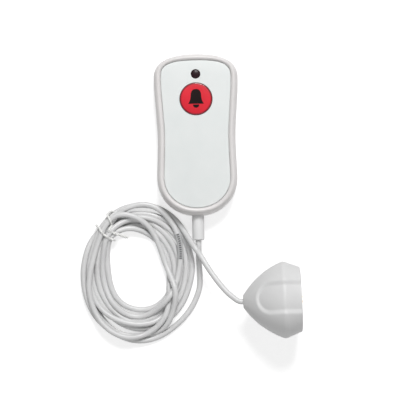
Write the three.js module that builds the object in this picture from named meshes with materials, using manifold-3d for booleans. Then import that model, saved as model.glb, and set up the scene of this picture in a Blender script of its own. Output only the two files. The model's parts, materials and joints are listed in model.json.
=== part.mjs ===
// Bed call button: a waisted handset with one push button and a lamp, a coiled lead held by a
// wire tie, and a round pull-off plug with finger recesses.
// Millimetres. The handset lies on its flat back at z = 0, face up, lamp end towards +Y.

import * as THREE from "three";
import { mergeVertices } from "three/addons/utils/BufferGeometryUtils.js";
import Module from "manifold-3d";

const wasm = await Module();
wasm.setup();

// Clearances
const GAP = 0.3;
const CAP_PLAY = 0.5;
const WIRE_CLEARANCE = 0.35;
const PIN_CLEARANCE = 0.2;
const OVERCUT = 1;

// Handset casing
const HANDSET_LENGTH = 105.3;
const HANDSET_HEIGHT = 19;
const HEAD_WIDTH = 54.9;
const WAIST_WIDTH = 50.6;
const FOOT_WIDTH = 52.1;
const HEAD_FROM_TOP = 15.2;
const WAIST_FROM_TOP = 56.2;
const FOOT_FROM_END = 24.4;
// How far each outline curve runs on straight, as a share of its own width or length
const FOOT_END_EASE = 0.59;
const FOOT_SIDE_EASE = 0.56;
const FOOT_WAIST_EASE = 0.37;
const WAIST_FOOT_EASE = 0.41;
const WAIST_HEAD_EASE = 0.35;
const HEAD_WAIST_EASE = 0.37;
const HEAD_SIDE_EASE = 0.67;
const HEAD_END_EASE = 0.65;
const WALL = 2;
const SPLIT_Z = 9;
const TONGUE_HEIGHT = 1.5;
const TONGUE_WIDTH = 0.7;
const BACK_EDGE = 4.5;
const SEAM_CHAMFER = 0.3;
const RIM_WIDTH = 4.9;
const RIM_CREST = 2.9;
const RIM_SHOULDER_Z = 11.5;
const PANEL_DROP = 1.3;
const GROOVE_LIP = 0.4;
const PLATE_THICKNESS = 1.2;
const PLATE_CHAMFER = 0.2;

// Push button, lamp and what is under them
const BUTTON_FROM_TOP = 30;
const BUTTON_DIAMETER = 20.9;
const BUTTON_PROUD = 0.5;
const BUTTON_TRAVEL = 0.8;
const BUTTON_TOP = 2;
const BUTTON_SKIRT = 1.45;
const BUTTON_ROUND = 0.6;
const BUTTON_FLANGE = 1.5;
const BUTTON_FLANGE_HEIGHT = 1.4;
const BUTTON_STEM_RADIUS = 2.5;
const BELL_WIDTH = 10.3;
const BELL_HEIGHT = 9.6;
const BELL_THICKNESS = 0.5;
const CLAPPER_RADIUS = 2.1;
const CLAPPER_GAP = 0.5;
const LAMP_FROM_TOP = 13.7;
const LAMP_DIAMETER = 6;
const LAMP_PROUD = 0.4;
const LAMP_ROUND = 0.6;
const LAMP_FLANGE = 1.1;
const LAMP_FLANGE_HEIGHT = 1.3;
const LAMP_WALL = 1;
const LED_RADIUS = 1.5;
const LED_HEIGHT = 5.6;
const SWITCH_SIZE = 6.2;
const SWITCH_HEIGHT = 3.5;
const PLUNGER_RADIUS = 1.75;
const PLUNGER_PROUD = 1.1;
const PLUNGER_SUNK = 1;
const LIGHT_OFFSET = 7;
const LIGHT_WIDTH = 2.8;
const LIGHT_LENGTH = 3.5;
const LIGHT_HEIGHT = 1.9;

// Circuit board and fasteners
const BOARD_Z = 5;
const BOARD_THICKNESS = 1.6;
const BOARD_WIDTH = 27;
const BOARD_FROM_TOP = 7.6;
const BOARD_FROM_END = 26.7;
const BOARD_POST_RADIUS = 2.4;
const BOARD_POST_INSET = 4;
const BOARD_SCREW_RADIUS = 0.9;
const BOARD_SCREW_LENGTH = 4;
const BOARD_SCREW_HEAD = 1.9;
const BOARD_SCREW_HEAD_HEIGHT = 1.2;
const SCREW_FROM_SIDE = 9;
const SCREW_FROM_TOP = 16.5;
const SCREW_FROM_END = 22;
const SCREW_RADIUS = 1.25;
const SCREW_HEAD_RADIUS = 2.6;
const SCREW_HEAD_HEIGHT = 1.6;
const SCREW_SEAT_Z = 2.4;
const SCREW_TIP_Z = 12.6;
const BOSS_RADIUS = 4;

// Cord, its sleeve, clamp and connector in the handset
const CORD_DIAMETER = 3.66;
const SLEEVE_DIAMETER = 7.8;
const SLEEVE_LENGTH = 15.8;
const SLEEVE_CHAMFER = 0.7;
const SLEEVE_FLANGE_RADIUS = 4.7;
const SLEEVE_FLANGE_LENGTH = 2;
const SLEEVE_FLANGE_FROM_END = 2.9;
const CORD_END_FROM_END = 19.5;
const CLAMP_FROM_END = 15;
const CLAMP_WIDTH = 4.6;
const CLAMP_LENGTH = 16;
const CLAMP_THICKNESS = 1.4;
const CLAMP_SCREW_X = 5.6;
const CLAMP_SCREW_RADIUS = 0.9;
const CLAMP_SCREW_HEAD_RADIUS = 1.8;
const CLAMP_SCREW_HEAD_HEIGHT = 0.8;
const CLAMP_SCREW_LENGTH = 5;
const CLAMP_POST_RADIUS = 1.9;
const SOCKET_WIDTH = 10.4;
const SOCKET_DEPTH = 6;
const SOCKET_HEIGHT = 5;
const SOCKET_WALL = 0.9;
const SOCKET_FROM_BOARD_END = 3;
const WIRE_PLUG_DEPTH = 6.5;
const WIRE_RADIUS = 0.55;
const WIRE_PITCH = 2;
const WIRE_SPREAD = 1.5;
const WIRE_STEP = 1.2;
const WIRE_COLOURS = { brown: 0x6b4428, white: 0xe8e8e4, green: 0x3c8a4c, yellow: 0xe2c13a };

// Plug: a round ogive body with a flat contact face
const PLUG_TAIL_RADIUS = 4.6;
const PLUG_TAIL_TO_RING = 26.5;
const PLUG_RING_TO_FACE = 10.4;
const PLUG_RING_RADIUS = 24.4;
const PLUG_RING_ROUND = 1.4;
const PLUG_FACE_RADIUS = 21;
const PLUG_BULGE_X = 10.7;
const PLUG_BULGE_RADIUS = 18.95;
const PLUG_SIDE_STEPS = 9;
const PLUG_SIDES = 40;
const PLUG_WALL = 3.4;
const PLUG_TAIL_WALL = 7;
const PLUG_LIP = 2.6;
const PLUG_SEAT = 1.2;
const PLUG_FACE_ROUND = 1;
const PLUG_TAIL_FUNNEL = 2;
const RECESS_COUNT = 3;
const RECESS_FROM_TAIL = 7.2;
const RECESS_HALF_TAIL = 7.6;
const RECESS_HALF_FACE = 10.6;
const RECESS_FLARE = 0.8;
const RECESS_DEPTH = 1.7;
const FACE_PLATE_THICKNESS = 2.5;
const CONTACT_PITCH = 3.1;
const CONTACT_RADIUS = 0.9;
const CONTACT_PROUD = 0.95;
const CONTACT_TRAVEL = 0.7;
const CONTACT_SUNK = 4.5;
const CONTACT_COLLAR = 0.35;
const CONTACT_NOSE = 0.5;
const CONTACT_COLLAR_LENGTH = 0.8;
const CARRIER_SIZE = 11;
const CARRIER_DEPTH = 8;
const MAGNET_RADIUS = 4;
const MAGNET_THICKNESS = 3;
const MAGNET_OFFSET = 11.5;
const PLUG_BOARD_RADIUS = 9;
const PLUG_BOARD_THICKNESS = 1.2;
const CRIMP_RADIUS = 3.2;
const CRIMP_LENGTH = 3;
const CRIMP_FROM_CORD_END = 1;

// Where the plug lies: the middle of its widest ring, its turn and its tail-down tilt
const PLUG_X = 54.2;
const PLUG_Y = -108;
const PLUG_TURN_DEG = 1.5;
const PLUG_TILT_DEG = 2;

// The coil lies beside the handset's foot. Sections: angle, inner radius, outer radius, bottom, top.
const COIL_X = -39;
const COIL_Y = -89;
const COIL_STRETCH = 1.22;
const COIL_STEP_DEG = 6;
const COIL_SECTIONS = [
  [0, 17.4, 36.8, 0, 9.4],
  [20, 16.6, 36, 0, 8.6],
  [36, 16.6, 34.6, 0, 8.4],
  [44, 17, 38.2, 0, 8.4],
  [72, 19.6, 38.8, 0, 8.8],
  [96, 22, 38.2, 0, 10.6],
  [114, 23.5, 38, 0, 10.8],
  [126, 24.4, 36.8, 1.7, 11.2],
  [138, 24.2, 36.8, 1.7, 11.2],
  [152, 21, 37.4, 0, 10.6],
  [180, 18, 38.3, 0, 10.4],
  [210, 17.9, 38.5, 0, 10],
  [240, 17.8, 37.8, 0, 10.5],
  [264, 17.6, 37.9, 0, 9.8],
  [288, 18.1, 38, 0, 8.4],
  [306, 19, 37.8, 0, 9.4],
  [312, 19.3, 32.8, 0, 10],
  [330, 19.3, 34.2, 0, 11.8],
  [348, 18, 35.6, 0, 11.8],
];

// The tie crosses the coil's narrow place from its outer to its inner side
const TIE_DIAMETER = 1.2;
const TIE_OUTER_DEG = 135.5;
const TIE_INNER_DEG = 130;
const TIE_OUTER_RADIUS = 38.2;
const TIE_INNER_RADIUS = 22.8;
const TIE_LOW_Z = 0.65;
const TIE_HIGH_Z = 12.3;
const TIE_TAIL = [
  [-55.6, -62.9, 12.2],
  [-51.2, -64.9, 11.6],
  [-45.2, -66, 9.2],
];

// Free cord outside its coil: from the sleeve down to the coil, and from the plug's tail to the coil
const HANDSET_LEAD = [
  [0, -75.4, 8.5],
  [0.1, -82.6, 6],
  [0.5, -90.6, 3.2],
  [0.2, -98.6, 2],
  [-2.2, -106, 1.9],
  [-6, -113, 1.9],
  [-10.4, -118.6, 1.9],
  [-15.2, -122.6, 1.9],
];
const PLUG_LEAD_STRAIGHT = 1.6;
const PLUG_LEAD = [
  [24.4, -108, 23.1],
  [21.9, -106.2, 22.4],
  [18.4, -103.2, 21.2],
  [14.3, -98.6, 19.3],
  [9.7, -92.4, 16.8],
  [5.3, -85.7, 14.6],
  [1.6, -79.4, 12.9],
  [-3.4, -72.1, 12],
  [-6.2, -68.1, 10.6],
  [-7.6, -65, 9.2],
  [-8.8, -61.6, 8],
];
const LEAD_STEP = 2.2;

// Derived heights and places in the handset
const TOP_Y = HANDSET_LENGTH / 2;
const END_Y = -HANDSET_LENGTH / 2;
const PANEL_Z = HANDSET_HEIGHT - PANEL_DROP;
const LEDGE_Z = PANEL_Z - PLATE_THICKNESS - GAP;
const CEILING_Z = LEDGE_Z - WALL;
const FRONT_Z = SPLIT_Z + GAP;
const CORD_Z = SPLIT_Z + GAP / 2;
const CORD_RADIUS = CORD_DIAMETER / 2;
const BUTTON_Y = TOP_Y - BUTTON_FROM_TOP;
const LAMP_Y = TOP_Y - LAMP_FROM_TOP;
const BUTTON_RADIUS = BUTTON_DIAMETER / 2;
const LAMP_RADIUS = LAMP_DIAMETER / 2;
const BOARD_TOP_Z = BOARD_Z + BOARD_THICKNESS;
const BOARD_TOP_Y = TOP_Y - BOARD_FROM_TOP;
const BOARD_END_Y = END_Y + BOARD_FROM_END;
const SWITCH_TOP_Z = BOARD_TOP_Z + GAP + SWITCH_HEIGHT;
const PLUNGER_TOP_Z = SWITCH_TOP_Z + PLUNGER_PROUD;
const CAP_TOP_Z = PANEL_Z + BUTTON_PROUD;
const CLAMP_Z = CORD_Z + CORD_RADIUS + GAP;
const CLAMP_Y = END_Y + CLAMP_FROM_END;
const CORD_END_Y = END_Y + CORD_END_FROM_END;
const SLEEVE_END_Y = END_Y - SLEEVE_LENGTH;
const SOCKET_Z = BOARD_TOP_Z + GAP;
const SOCKET_Y = BOARD_END_Y + SOCKET_FROM_BOARD_END;
const HEAD_SCREW_X = HEAD_WIDTH / 2 - SCREW_FROM_SIDE;
const FOOT_SCREW_X = FOOT_WIDTH / 2 - SCREW_FROM_SIDE;
const CASE_SCREWS = [
  [-HEAD_SCREW_X, TOP_Y - SCREW_FROM_TOP],
  [HEAD_SCREW_X, TOP_Y - SCREW_FROM_TOP],
  [-FOOT_SCREW_X, END_Y + SCREW_FROM_END],
  [FOOT_SCREW_X, END_Y + SCREW_FROM_END],
];
const BOARD_POST_X = BOARD_WIDTH / 2 - BOARD_POST_INSET;
const BOARD_POSTS = [
  [-BOARD_POST_X, BOARD_TOP_Y - BOARD_POST_INSET],
  [BOARD_POST_X, BOARD_END_Y + BOARD_POST_INSET],
  [BOARD_POST_X, BOARD_TOP_Y - BOARD_POST_INSET],
  [-BOARD_POST_X, BOARD_END_Y + BOARD_POST_INSET],
];
const BOARD_SCREW_COUNT = 2;

const material = (color, roughness, metalness = 0) =>
  new THREE.MeshStandardMaterial({ color, roughness, metalness });
const MATERIALS = {
  casing: material(0xe6e7e6, 0.42),
  panel: material(0xe0e3e2, 0.5),
  button: material(0xd5283c, 0.25),
  symbol: material(0x1c1213, 0.3),
  lamp: material(0x2d1b20, 0.15),
  board: material(0x2f6a41, 0.55),
  component: material(0x26272a, 0.5),
  light: material(0xefe9d6, 0.4),
  contact: material(0xcaa35a, 0.3, 1),
  steel: material(0xb9bbbe, 0.35, 1),
  sleeve: material(0xe4e5e5, 0.5),
  cord: material(0xdfe0e0, 0.5),
  plug: material(0xdcdcdc, 0.55),
  tie: material(0xf0f0ee, 0.45),
};

// Solids

function toSolid(geometry) {
  const bare = new THREE.BufferGeometry();
  const source = geometry.index ? geometry.toNonIndexed() : geometry;
  bare.setAttribute("position", source.getAttribute("position").clone());
  const merged = mergeVertices(bare, 1e-4);
  const vertProperties = new Float32Array(merged.getAttribute("position").array);
  const triVerts = new Uint32Array(merged.getIndex().array);
  return new wasm.Manifold(new wasm.Mesh({ numProp: 3, vertProperties, triVerts }));
}

function toGeometry(solid) {
  const mesh = solid.getMesh();
  const geometry = new THREE.BufferGeometry();
  geometry.setAttribute("position", new THREE.BufferAttribute(mesh.vertProperties.slice(), 3));
  geometry.setIndex(new THREE.BufferAttribute(mesh.triVerts.slice(), 1));
  return geometry;
}

function carve(base, { join = [], cut = [] }) {
  let solid = toSolid(base);
  for (const piece of join) solid = solid.add(toSolid(piece));
  for (const piece of cut) solid = solid.subtract(toSolid(piece));
  return toGeometry(solid);
}

function rod(x, y, z0, z1, radius, sides = 24) {
  const geometry = new THREE.CylinderGeometry(radius, radius, z1 - z0, sides);
  geometry.rotateX(Math.PI / 2);
  return geometry.translate(x, y, (z0 + z1) / 2);
}

function block(x0, x1, y0, y1, z0, z1) {
  const geometry = new THREE.BoxGeometry(x1 - x0, y1 - y0, z1 - z0);
  return geometry.translate((x0 + x1) / 2, (y0 + y1) / 2, (z0 + z1) / 2);
}

function turned(profile, sides = 36) {
  const points = profile.map(([radius, height]) => new THREE.Vector2(radius, height));
  return new THREE.LatheGeometry(points, sides).rotateX(Math.PI / 2);
}

// Joins rings of points that all have the same count, and caps the first and last ring
function loft(rings, closed = false) {
  const count = rings[0].length;
  const positions = rings.flat().flatMap((point) => [point.x, point.y, point.z]);
  const index = [];
  const bands = closed ? rings.length : rings.length - 1;
  for (let band = 0; band < bands; band += 1) {
    const low = band * count;
    const high = ((band + 1) % rings.length) * count;
    for (let i = 0; i < count; i += 1) {
      const next = (i + 1) % count;
      index.push(low + i, low + next, high + next, low + i, high + next, high + i);
    }
  }
  if (!closed) {
    const last = (rings.length - 1) * count;
    const flat = (ring) => ring.map((point) => new THREE.Vector2(point.x, point.y));
    for (const [a, b, c] of THREE.ShapeUtils.triangulateShape(flat(rings[0]), [])) index.push(c, b, a);
    for (const [a, b, c] of THREE.ShapeUtils.triangulateShape(flat(rings.at(-1)), [])) {
      index.push(last + a, last + b, last + c);
    }
  }
  const geometry = new THREE.BufferGeometry();
  geometry.setAttribute("position", new THREE.Float32BufferAttribute(positions, 3));
  geometry.setIndex(index);
  return geometry;
}

function circleShape(radius, sides) {
  const points = [];
  for (let i = 0; i < sides; i += 1) {
    const angle = (2 * Math.PI * i) / sides;
    points.push(new THREE.Vector2(radius * Math.cos(angle), radius * Math.sin(angle)));
  }
  return new THREE.Shape(points);
}

function tube(points, radius, step, sides = 8) {
  const places = points.map((point) => new THREE.Vector3(...point));
  const path = new THREE.CatmullRomCurve3(places, false, "centripetal");
  const steps = Math.max(2, Math.round(path.getLength() / step));
  const section = circleShape(radius, sides);
  return new THREE.ExtrudeGeometry(section, { steps, extrudePath: path, bevelEnabled: false });
}

// Handset outline: four curves down one side, mirrored. Returns points and outward normals.
function handsetOutline() {
  const headY = TOP_Y - HEAD_FROM_TOP;
  const waistY = TOP_Y - WAIST_FROM_TOP;
  const footY = END_Y + FOOT_FROM_END;
  const [head, waist, foot] = [HEAD_WIDTH / 2, WAIST_WIDTH / 2, FOOT_WIDTH / 2];
  const at = (x, y) => new THREE.Vector2(x, y);
  const curve = (...points) => new THREE.CubicBezierCurve(...points.map(([x, y]) => at(x, y)));
  const low = waistY - footY;
  const high = headY - waistY;
  const side = [
    [curve([0, END_Y], [FOOT_END_EASE * foot, END_Y], [foot, footY - FOOT_SIDE_EASE * FOOT_FROM_END],
      [foot, footY]), 10],
    [curve([foot, footY], [foot, footY + FOOT_WAIST_EASE * low], [waist, waistY - WAIST_FOOT_EASE * low],
      [waist, waistY]), 4],
    [curve([waist, waistY], [waist, waistY + WAIST_HEAD_EASE * high], [head, headY - HEAD_WAIST_EASE * high],
      [head, headY]), 6],
    [curve([head, headY], [head, headY + HEAD_SIDE_EASE * HEAD_FROM_TOP], [HEAD_END_EASE * head, TOP_Y],
      [0, TOP_Y]), 10],
  ];
  const right = [];
  for (const [line, pieces] of side) {
    for (let i = 0; i < pieces; i += 1) {
      const tangent = line.getTangent(i / pieces);
      right.push({ point: line.getPoint(i / pieces), normal: at(tangent.y, -tangent.x) });
    }
  }
  const left = right.slice(1).reverse().map(({ point, normal }) => ({
    point: at(-point.x, point.y),
    normal: at(-normal.x, normal.y),
  }));
  return [...right, { point: at(0, TOP_Y), normal: at(0, 1) }, ...left];
}

const OUTLINE = handsetOutline();

function ring(inset, z) {
  return OUTLINE.map(({ point, normal }) => new THREE.Vector3(
    point.x - inset * normal.x,
    point.y - inset * normal.y,
    z,
  ));
}

// A rounded edge in the casing's section, as inset and height pairs
function edgeArc(inset, z0, z1, steps) {
  const pairs = [];
  for (let i = 1; i <= steps; i += 1) {
    const angle = (Math.PI / 2) * (i / steps);
    pairs.push([inset * (1 - Math.cos(angle)), z0 + (z1 - z0) * Math.sin(angle)]);
  }
  return pairs;
}

function sleeveHole() {
  const radius = SLEEVE_DIAMETER / 2 + GAP;
  const geometry = new THREE.CylinderGeometry(radius, radius, 2 * BACK_EDGE, 28);
  return geometry.translate(0, END_Y, CORD_Z);
}

function backCover() {
  const section = [
    ...edgeArc(BACK_EDGE, BACK_EDGE, 0, 4).reverse(),
    [0, BACK_EDGE],
    [0, SPLIT_Z - SEAM_CHAMFER],
    [SEAM_CHAMFER, SPLIT_Z],
    [WALL - TONGUE_WIDTH, SPLIT_Z],
    [WALL - TONGUE_WIDTH, SPLIT_Z + TONGUE_HEIGHT],
    [WALL, SPLIT_Z + TONGUE_HEIGHT],
    [WALL, BACK_EDGE],
    [WALL + 0.3 * BACK_EDGE, WALL + 0.15 * BACK_EDGE],
    [WALL + 0.6 * BACK_EDGE, WALL],
  ];
  const shell = loft(section.map(([inset, z]) => ring(inset, z)));
  const sunk = WALL / 2;
  const join = CASE_SCREWS.map(([x, y]) => rod(x, y, sunk, SPLIT_Z, BOSS_RADIUS, 18));
  for (const [x, y] of BOARD_POSTS) join.push(rod(x, y, sunk, BOARD_Z - GAP, BOARD_POST_RADIUS, 16));
  for (const x of [-CLAMP_SCREW_X, CLAMP_SCREW_X]) {
    join.push(rod(x, CLAMP_Y, sunk, CLAMP_Z - GAP, CLAMP_POST_RADIUS, 16));
  }
  const saddle = CLAMP_WIDTH / 2;
  join.push(block(-saddle, saddle, CLAMP_Y - saddle, CLAMP_Y + saddle, sunk, CORD_Z - CORD_RADIUS - GAP));
  const cut = [sleeveHole()];
  for (const [x, y] of CASE_SCREWS) {
    cut.push(rod(x, y, -OVERCUT, SCREW_SEAT_Z, SCREW_HEAD_RADIUS + GAP, 18));
    cut.push(rod(x, y, 0, SPLIT_Z + OVERCUT, SCREW_RADIUS + GAP, 12));
  }
  for (const [x, y] of BOARD_POSTS.slice(0, BOARD_SCREW_COUNT)) {
    cut.push(rod(x, y, BOARD_TOP_Z - BOARD_SCREW_LENGTH, BOARD_Z, BOARD_SCREW_RADIUS + GAP, 12));
  }
  for (const x of [-CLAMP_SCREW_X, CLAMP_SCREW_X]) {
    const tip = CLAMP_Z + CLAMP_THICKNESS - CLAMP_SCREW_LENGTH;
    cut.push(rod(x, CLAMP_Y, tip, CLAMP_Z, CLAMP_SCREW_RADIUS + GAP, 12));
  }
  return carve(shell, { join, cut });
}

function frontCover() {
  const lip = LEDGE_Z + PLATE_THICKNESS + GAP + GROOVE_LIP;
  const crest = edgeArc(RIM_CREST, RIM_SHOULDER_Z, HANDSET_HEIGHT, 6);
  const section = [
    [WALL, CEILING_Z],
    [WALL, SPLIT_Z + TONGUE_HEIGHT + GAP],
    [WALL - TONGUE_WIDTH - GAP, SPLIT_Z + TONGUE_HEIGHT + GAP],
    [WALL - TONGUE_WIDTH - GAP, FRONT_Z],
    [SEAM_CHAMFER, FRONT_Z],
    [0, FRONT_Z + SEAM_CHAMFER],
    [0, RIM_SHOULDER_Z],
    ...crest,
    [RIM_CREST + 0.6 * (RIM_WIDTH - RIM_CREST), HANDSET_HEIGHT - 0.25 * (HANDSET_HEIGHT - lip)],
    [RIM_WIDTH, lip],
    [RIM_WIDTH, LEDGE_Z],
  ];
  const shell = loft(section.map(([inset, z]) => ring(inset, z)));
  const join = CASE_SCREWS.map(([x, y]) => rod(x, y, FRONT_Z, LEDGE_Z - WALL / 2, BOSS_RADIUS, 18));
  const cut = [
    sleeveHole(),
    rod(0, BUTTON_Y, CEILING_Z - OVERCUT, HANDSET_HEIGHT, BUTTON_RADIUS + GAP, 48),
    rod(0, LAMP_Y, CEILING_Z - OVERCUT, HANDSET_HEIGHT, LAMP_RADIUS + GAP, 28),
  ];
  for (const [x, y] of CASE_SCREWS) {
    cut.push(rod(x, y, FRONT_Z - OVERCUT, SCREW_TIP_Z + GAP, SCREW_RADIUS + GAP, 12));
  }
  return carve(shell, { join, cut });
}

function facePlate() {
  const rim = RIM_WIDTH + GAP;
  const low = LEDGE_Z + GAP;
  const plate = loft([
    ring(rim, low),
    ring(rim, PANEL_Z - PLATE_CHAMFER),
    ring(rim + PLATE_CHAMFER, PANEL_Z),
  ]);
  return carve(plate, {
    cut: [
      rod(0, BUTTON_Y, low - OVERCUT, PANEL_Z + OVERCUT, BUTTON_RADIUS + GAP, 48),
      rod(0, LAMP_Y, low - OVERCUT, PANEL_Z + OVERCUT, LAMP_RADIUS + GAP, 28),
    ],
  });
}

// Bell outline around its own middle: a dome on straight sides that flare into a wide skirt
function bellShape(grow = 0) {
  const half = BELL_WIDTH / 2 + grow;
  const dome = 0.56 * (BELL_WIDTH / 2) + grow;
  const top = BELL_HEIGHT / 2 + grow;
  const base = -BELL_HEIGHT / 2 - grow;
  const shape = new THREE.Shape();
  shape.moveTo(-half, base);
  shape.lineTo(half, base);
  shape.quadraticCurveTo(dome + 0.35, base + 0.28 * BELL_HEIGHT, dome, top - 0.45 * BELL_HEIGHT);
  shape.bezierCurveTo(dome, top - 0.1 * BELL_HEIGHT, 0.5 * dome, top, 0, top);
  shape.bezierCurveTo(-0.5 * dome, top, -dome, top - 0.1 * BELL_HEIGHT, -dome, top - 0.45 * BELL_HEIGHT);
  shape.quadraticCurveTo(-dome - 0.35, base + 0.28 * BELL_HEIGHT, -half, base);
  return shape;
}

function clapperShape(grow = 0) {
  const radius = CLAPPER_RADIUS + grow;
  const shape = new THREE.Shape();
  shape.moveTo(-radius, grow);
  shape.absarc(0, 0, radius, Math.PI, 2 * Math.PI, false);
  shape.lineTo(radius, grow);
  return shape;
}

function raised(shape, y, z0, z1) {
  const options = { depth: z1 - z0, bevelEnabled: false, curveSegments: 8 };
  const geometry = new THREE.ExtrudeGeometry(shape, options);
  return geometry.translate(0, y, z0);
}

const BELL_Y = BUTTON_Y + 0.16 * BELL_HEIGHT;
const CLAPPER_Y = BELL_Y - BELL_HEIGHT / 2 - CLAPPER_GAP;

function buttonCap() {
  const flangeTop = CEILING_Z - CAP_PLAY;
  const flangeLow = flangeTop - BUTTON_FLANGE_HEIGHT;
  const inside = BUTTON_RADIUS - BUTTON_SKIRT;
  const cap = turned([
    [0, PLUNGER_TOP_Z + GAP],
    [BUTTON_STEM_RADIUS, PLUNGER_TOP_Z + GAP],
    [BUTTON_STEM_RADIUS, CAP_TOP_Z - BUTTON_TOP],
    [inside, CAP_TOP_Z - BUTTON_TOP],
    [inside, flangeLow],
    [BUTTON_RADIUS + BUTTON_FLANGE, flangeLow],
    [BUTTON_RADIUS + BUTTON_FLANGE, flangeTop],
    [BUTTON_RADIUS, flangeTop],
    [BUTTON_RADIUS, CAP_TOP_Z - BUTTON_ROUND],
    [BUTTON_RADIUS - BUTTON_ROUND, CAP_TOP_Z],
    [0, CAP_TOP_Z],
  ], 48).translate(0, BUTTON_Y, 0);
  const pocket = CAP_TOP_Z - BELL_THICKNESS - GAP;
  return carve(cap, {
    cut: [
      raised(bellShape(GAP), BELL_Y, pocket, CAP_TOP_Z + OVERCUT),
      raised(clapperShape(GAP), CLAPPER_Y, pocket, CAP_TOP_Z + OVERCUT),
    ],
  });
}

function lampLens() {
  const top = PANEL_Z + LAMP_PROUD;
  const flangeTop = CEILING_Z - GAP;
  const flangeLow = flangeTop - LAMP_FLANGE_HEIGHT;
  const inside = LAMP_RADIUS - LAMP_WALL;
  return turned([
    [0, top - LAMP_WALL],
    [inside, top - 1.6 * LAMP_WALL],
    [inside, flangeLow],
    [LAMP_RADIUS + LAMP_FLANGE, flangeLow],
    [LAMP_RADIUS + LAMP_FLANGE, flangeTop],
    [LAMP_RADIUS, flangeTop],
    [LAMP_RADIUS, top - LAMP_ROUND],
    [0.8 * LAMP_RADIUS, top - LAMP_ROUND / 3],
    [0.4 * LAMP_RADIUS, top],
    [0, top],
  ], 28).translate(0, LAMP_Y, 0);
}

function lampLed() {
  const base = BOARD_TOP_Z + GAP;
  const top = base + LED_HEIGHT;
  return turned([
    [0, base],
    [LED_RADIUS + 0.3, base],
    [LED_RADIUS + 0.3, base + 0.8],
    [LED_RADIUS, base + 0.8],
    [LED_RADIUS, top - 1.1],
    [0.7 * LED_RADIUS, top - 0.3],
    [0, top],
  ], 16).translate(0, LAMP_Y, 0);
}

function switchBody() {
  const half = SWITCH_SIZE / 2;
  const body = block(-half, half, BUTTON_Y - half, BUTTON_Y + half, BOARD_TOP_Z + GAP, SWITCH_TOP_Z);
  const floor = SWITCH_TOP_Z - PLUNGER_SUNK - BUTTON_TRAVEL - GAP;
  return carve(body, { cut: [rod(0, BUTTON_Y, floor, SWITCH_TOP_Z + OVERCUT, PLUNGER_RADIUS + GAP, 20)] });
}

function circuitBoard() {
  const half = BOARD_WIDTH / 2;
  const board = block(-half, half, BOARD_END_Y, BOARD_TOP_Y, BOARD_Z, BOARD_TOP_Z);
  const cut = BOARD_POSTS.slice(0, BOARD_SCREW_COUNT).map(([x, y]) => (
    rod(x, y, BOARD_Z - OVERCUT, BOARD_TOP_Z + OVERCUT, BOARD_SCREW_RADIUS + GAP, 12)
  ));
  return carve(board, { cut });
}

// A screw with a low head, its tip down. The head's seat is at z = 0.
function screw(radius, length, headRadius, headHeight, sides) {
  return turned([
    [0, -length],
    [0.6 * radius, -length],
    [radius, -length + radius],
    [radius, 0],
    [headRadius, 0],
    [headRadius, 0.6 * headHeight],
    [0.75 * headRadius, headHeight],
    [0, headHeight],
  ], sides);
}

// The sleeve around the cord: flange inside the casing, then the plain length outside. It points along -Y.
function cordSleeve() {
  const bore = CORD_RADIUS + GAP;
  const radius = SLEEVE_DIAMETER / 2;
  const flangeFrom = SLEEVE_FLANGE_FROM_END;
  const profile = [
    [bore, -flangeFrom - SLEEVE_FLANGE_LENGTH],
    [SLEEVE_FLANGE_RADIUS, -flangeFrom - SLEEVE_FLANGE_LENGTH],
    [SLEEVE_FLANGE_RADIUS, -flangeFrom],
    [radius, -flangeFrom],
    [radius, SLEEVE_LENGTH - SLEEVE_CHAMFER],
    [radius - SLEEVE_CHAMFER, SLEEVE_LENGTH],
    [bore, SLEEVE_LENGTH],
    [bore, -flangeFrom - SLEEVE_FLANGE_LENGTH],
  ];
  return turned(profile, 28).rotateX(Math.PI / 2);
}

function clampBar() {
  const half = CLAMP_LENGTH / 2;
  const across = CLAMP_WIDTH / 2;
  const top = CLAMP_Z + CLAMP_THICKNESS;
  const bar = block(-half, half, CLAMP_Y - across, CLAMP_Y + across, CLAMP_Z, top);
  const cut = [-CLAMP_SCREW_X, CLAMP_SCREW_X].map((x) => (
    rod(x, CLAMP_Y, CLAMP_Z - OVERCUT, top + OVERCUT, CLAMP_SCREW_RADIUS + GAP, 12)
  ));
  return carve(bar, { cut });
}

function boardSocket() {
  const half = SOCKET_WIDTH / 2;
  const body = block(-half, half, SOCKET_Y, SOCKET_Y + SOCKET_DEPTH, SOCKET_Z, SOCKET_Z + SOCKET_HEIGHT);
  const inner = half - SOCKET_WALL;
  const mouth = block(-inner, inner, SOCKET_Y - OVERCUT, SOCKET_Y + SOCKET_DEPTH - SOCKET_WALL,
    SOCKET_Z + SOCKET_WALL, SOCKET_Z + SOCKET_HEIGHT - SOCKET_WALL);
  return carve(body, { cut: [mouth] });
}

const WIRE_PLUG_Y = SOCKET_Y + SOCKET_DEPTH - SOCKET_WALL - GAP - WIRE_PLUG_DEPTH;
const WIRE_PLUG_Z = SOCKET_Z + SOCKET_HEIGHT / 2;

function wirePlug() {
  const half = SOCKET_WIDTH / 2 - SOCKET_WALL - GAP;
  const tall = SOCKET_HEIGHT / 2 - SOCKET_WALL - GAP;
  const back = WIRE_PLUG_Y + WIRE_PLUG_DEPTH;
  return block(-half, half, WIRE_PLUG_Y, back, WIRE_PLUG_Z - tall, WIRE_PLUG_Z + tall);
}

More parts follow.
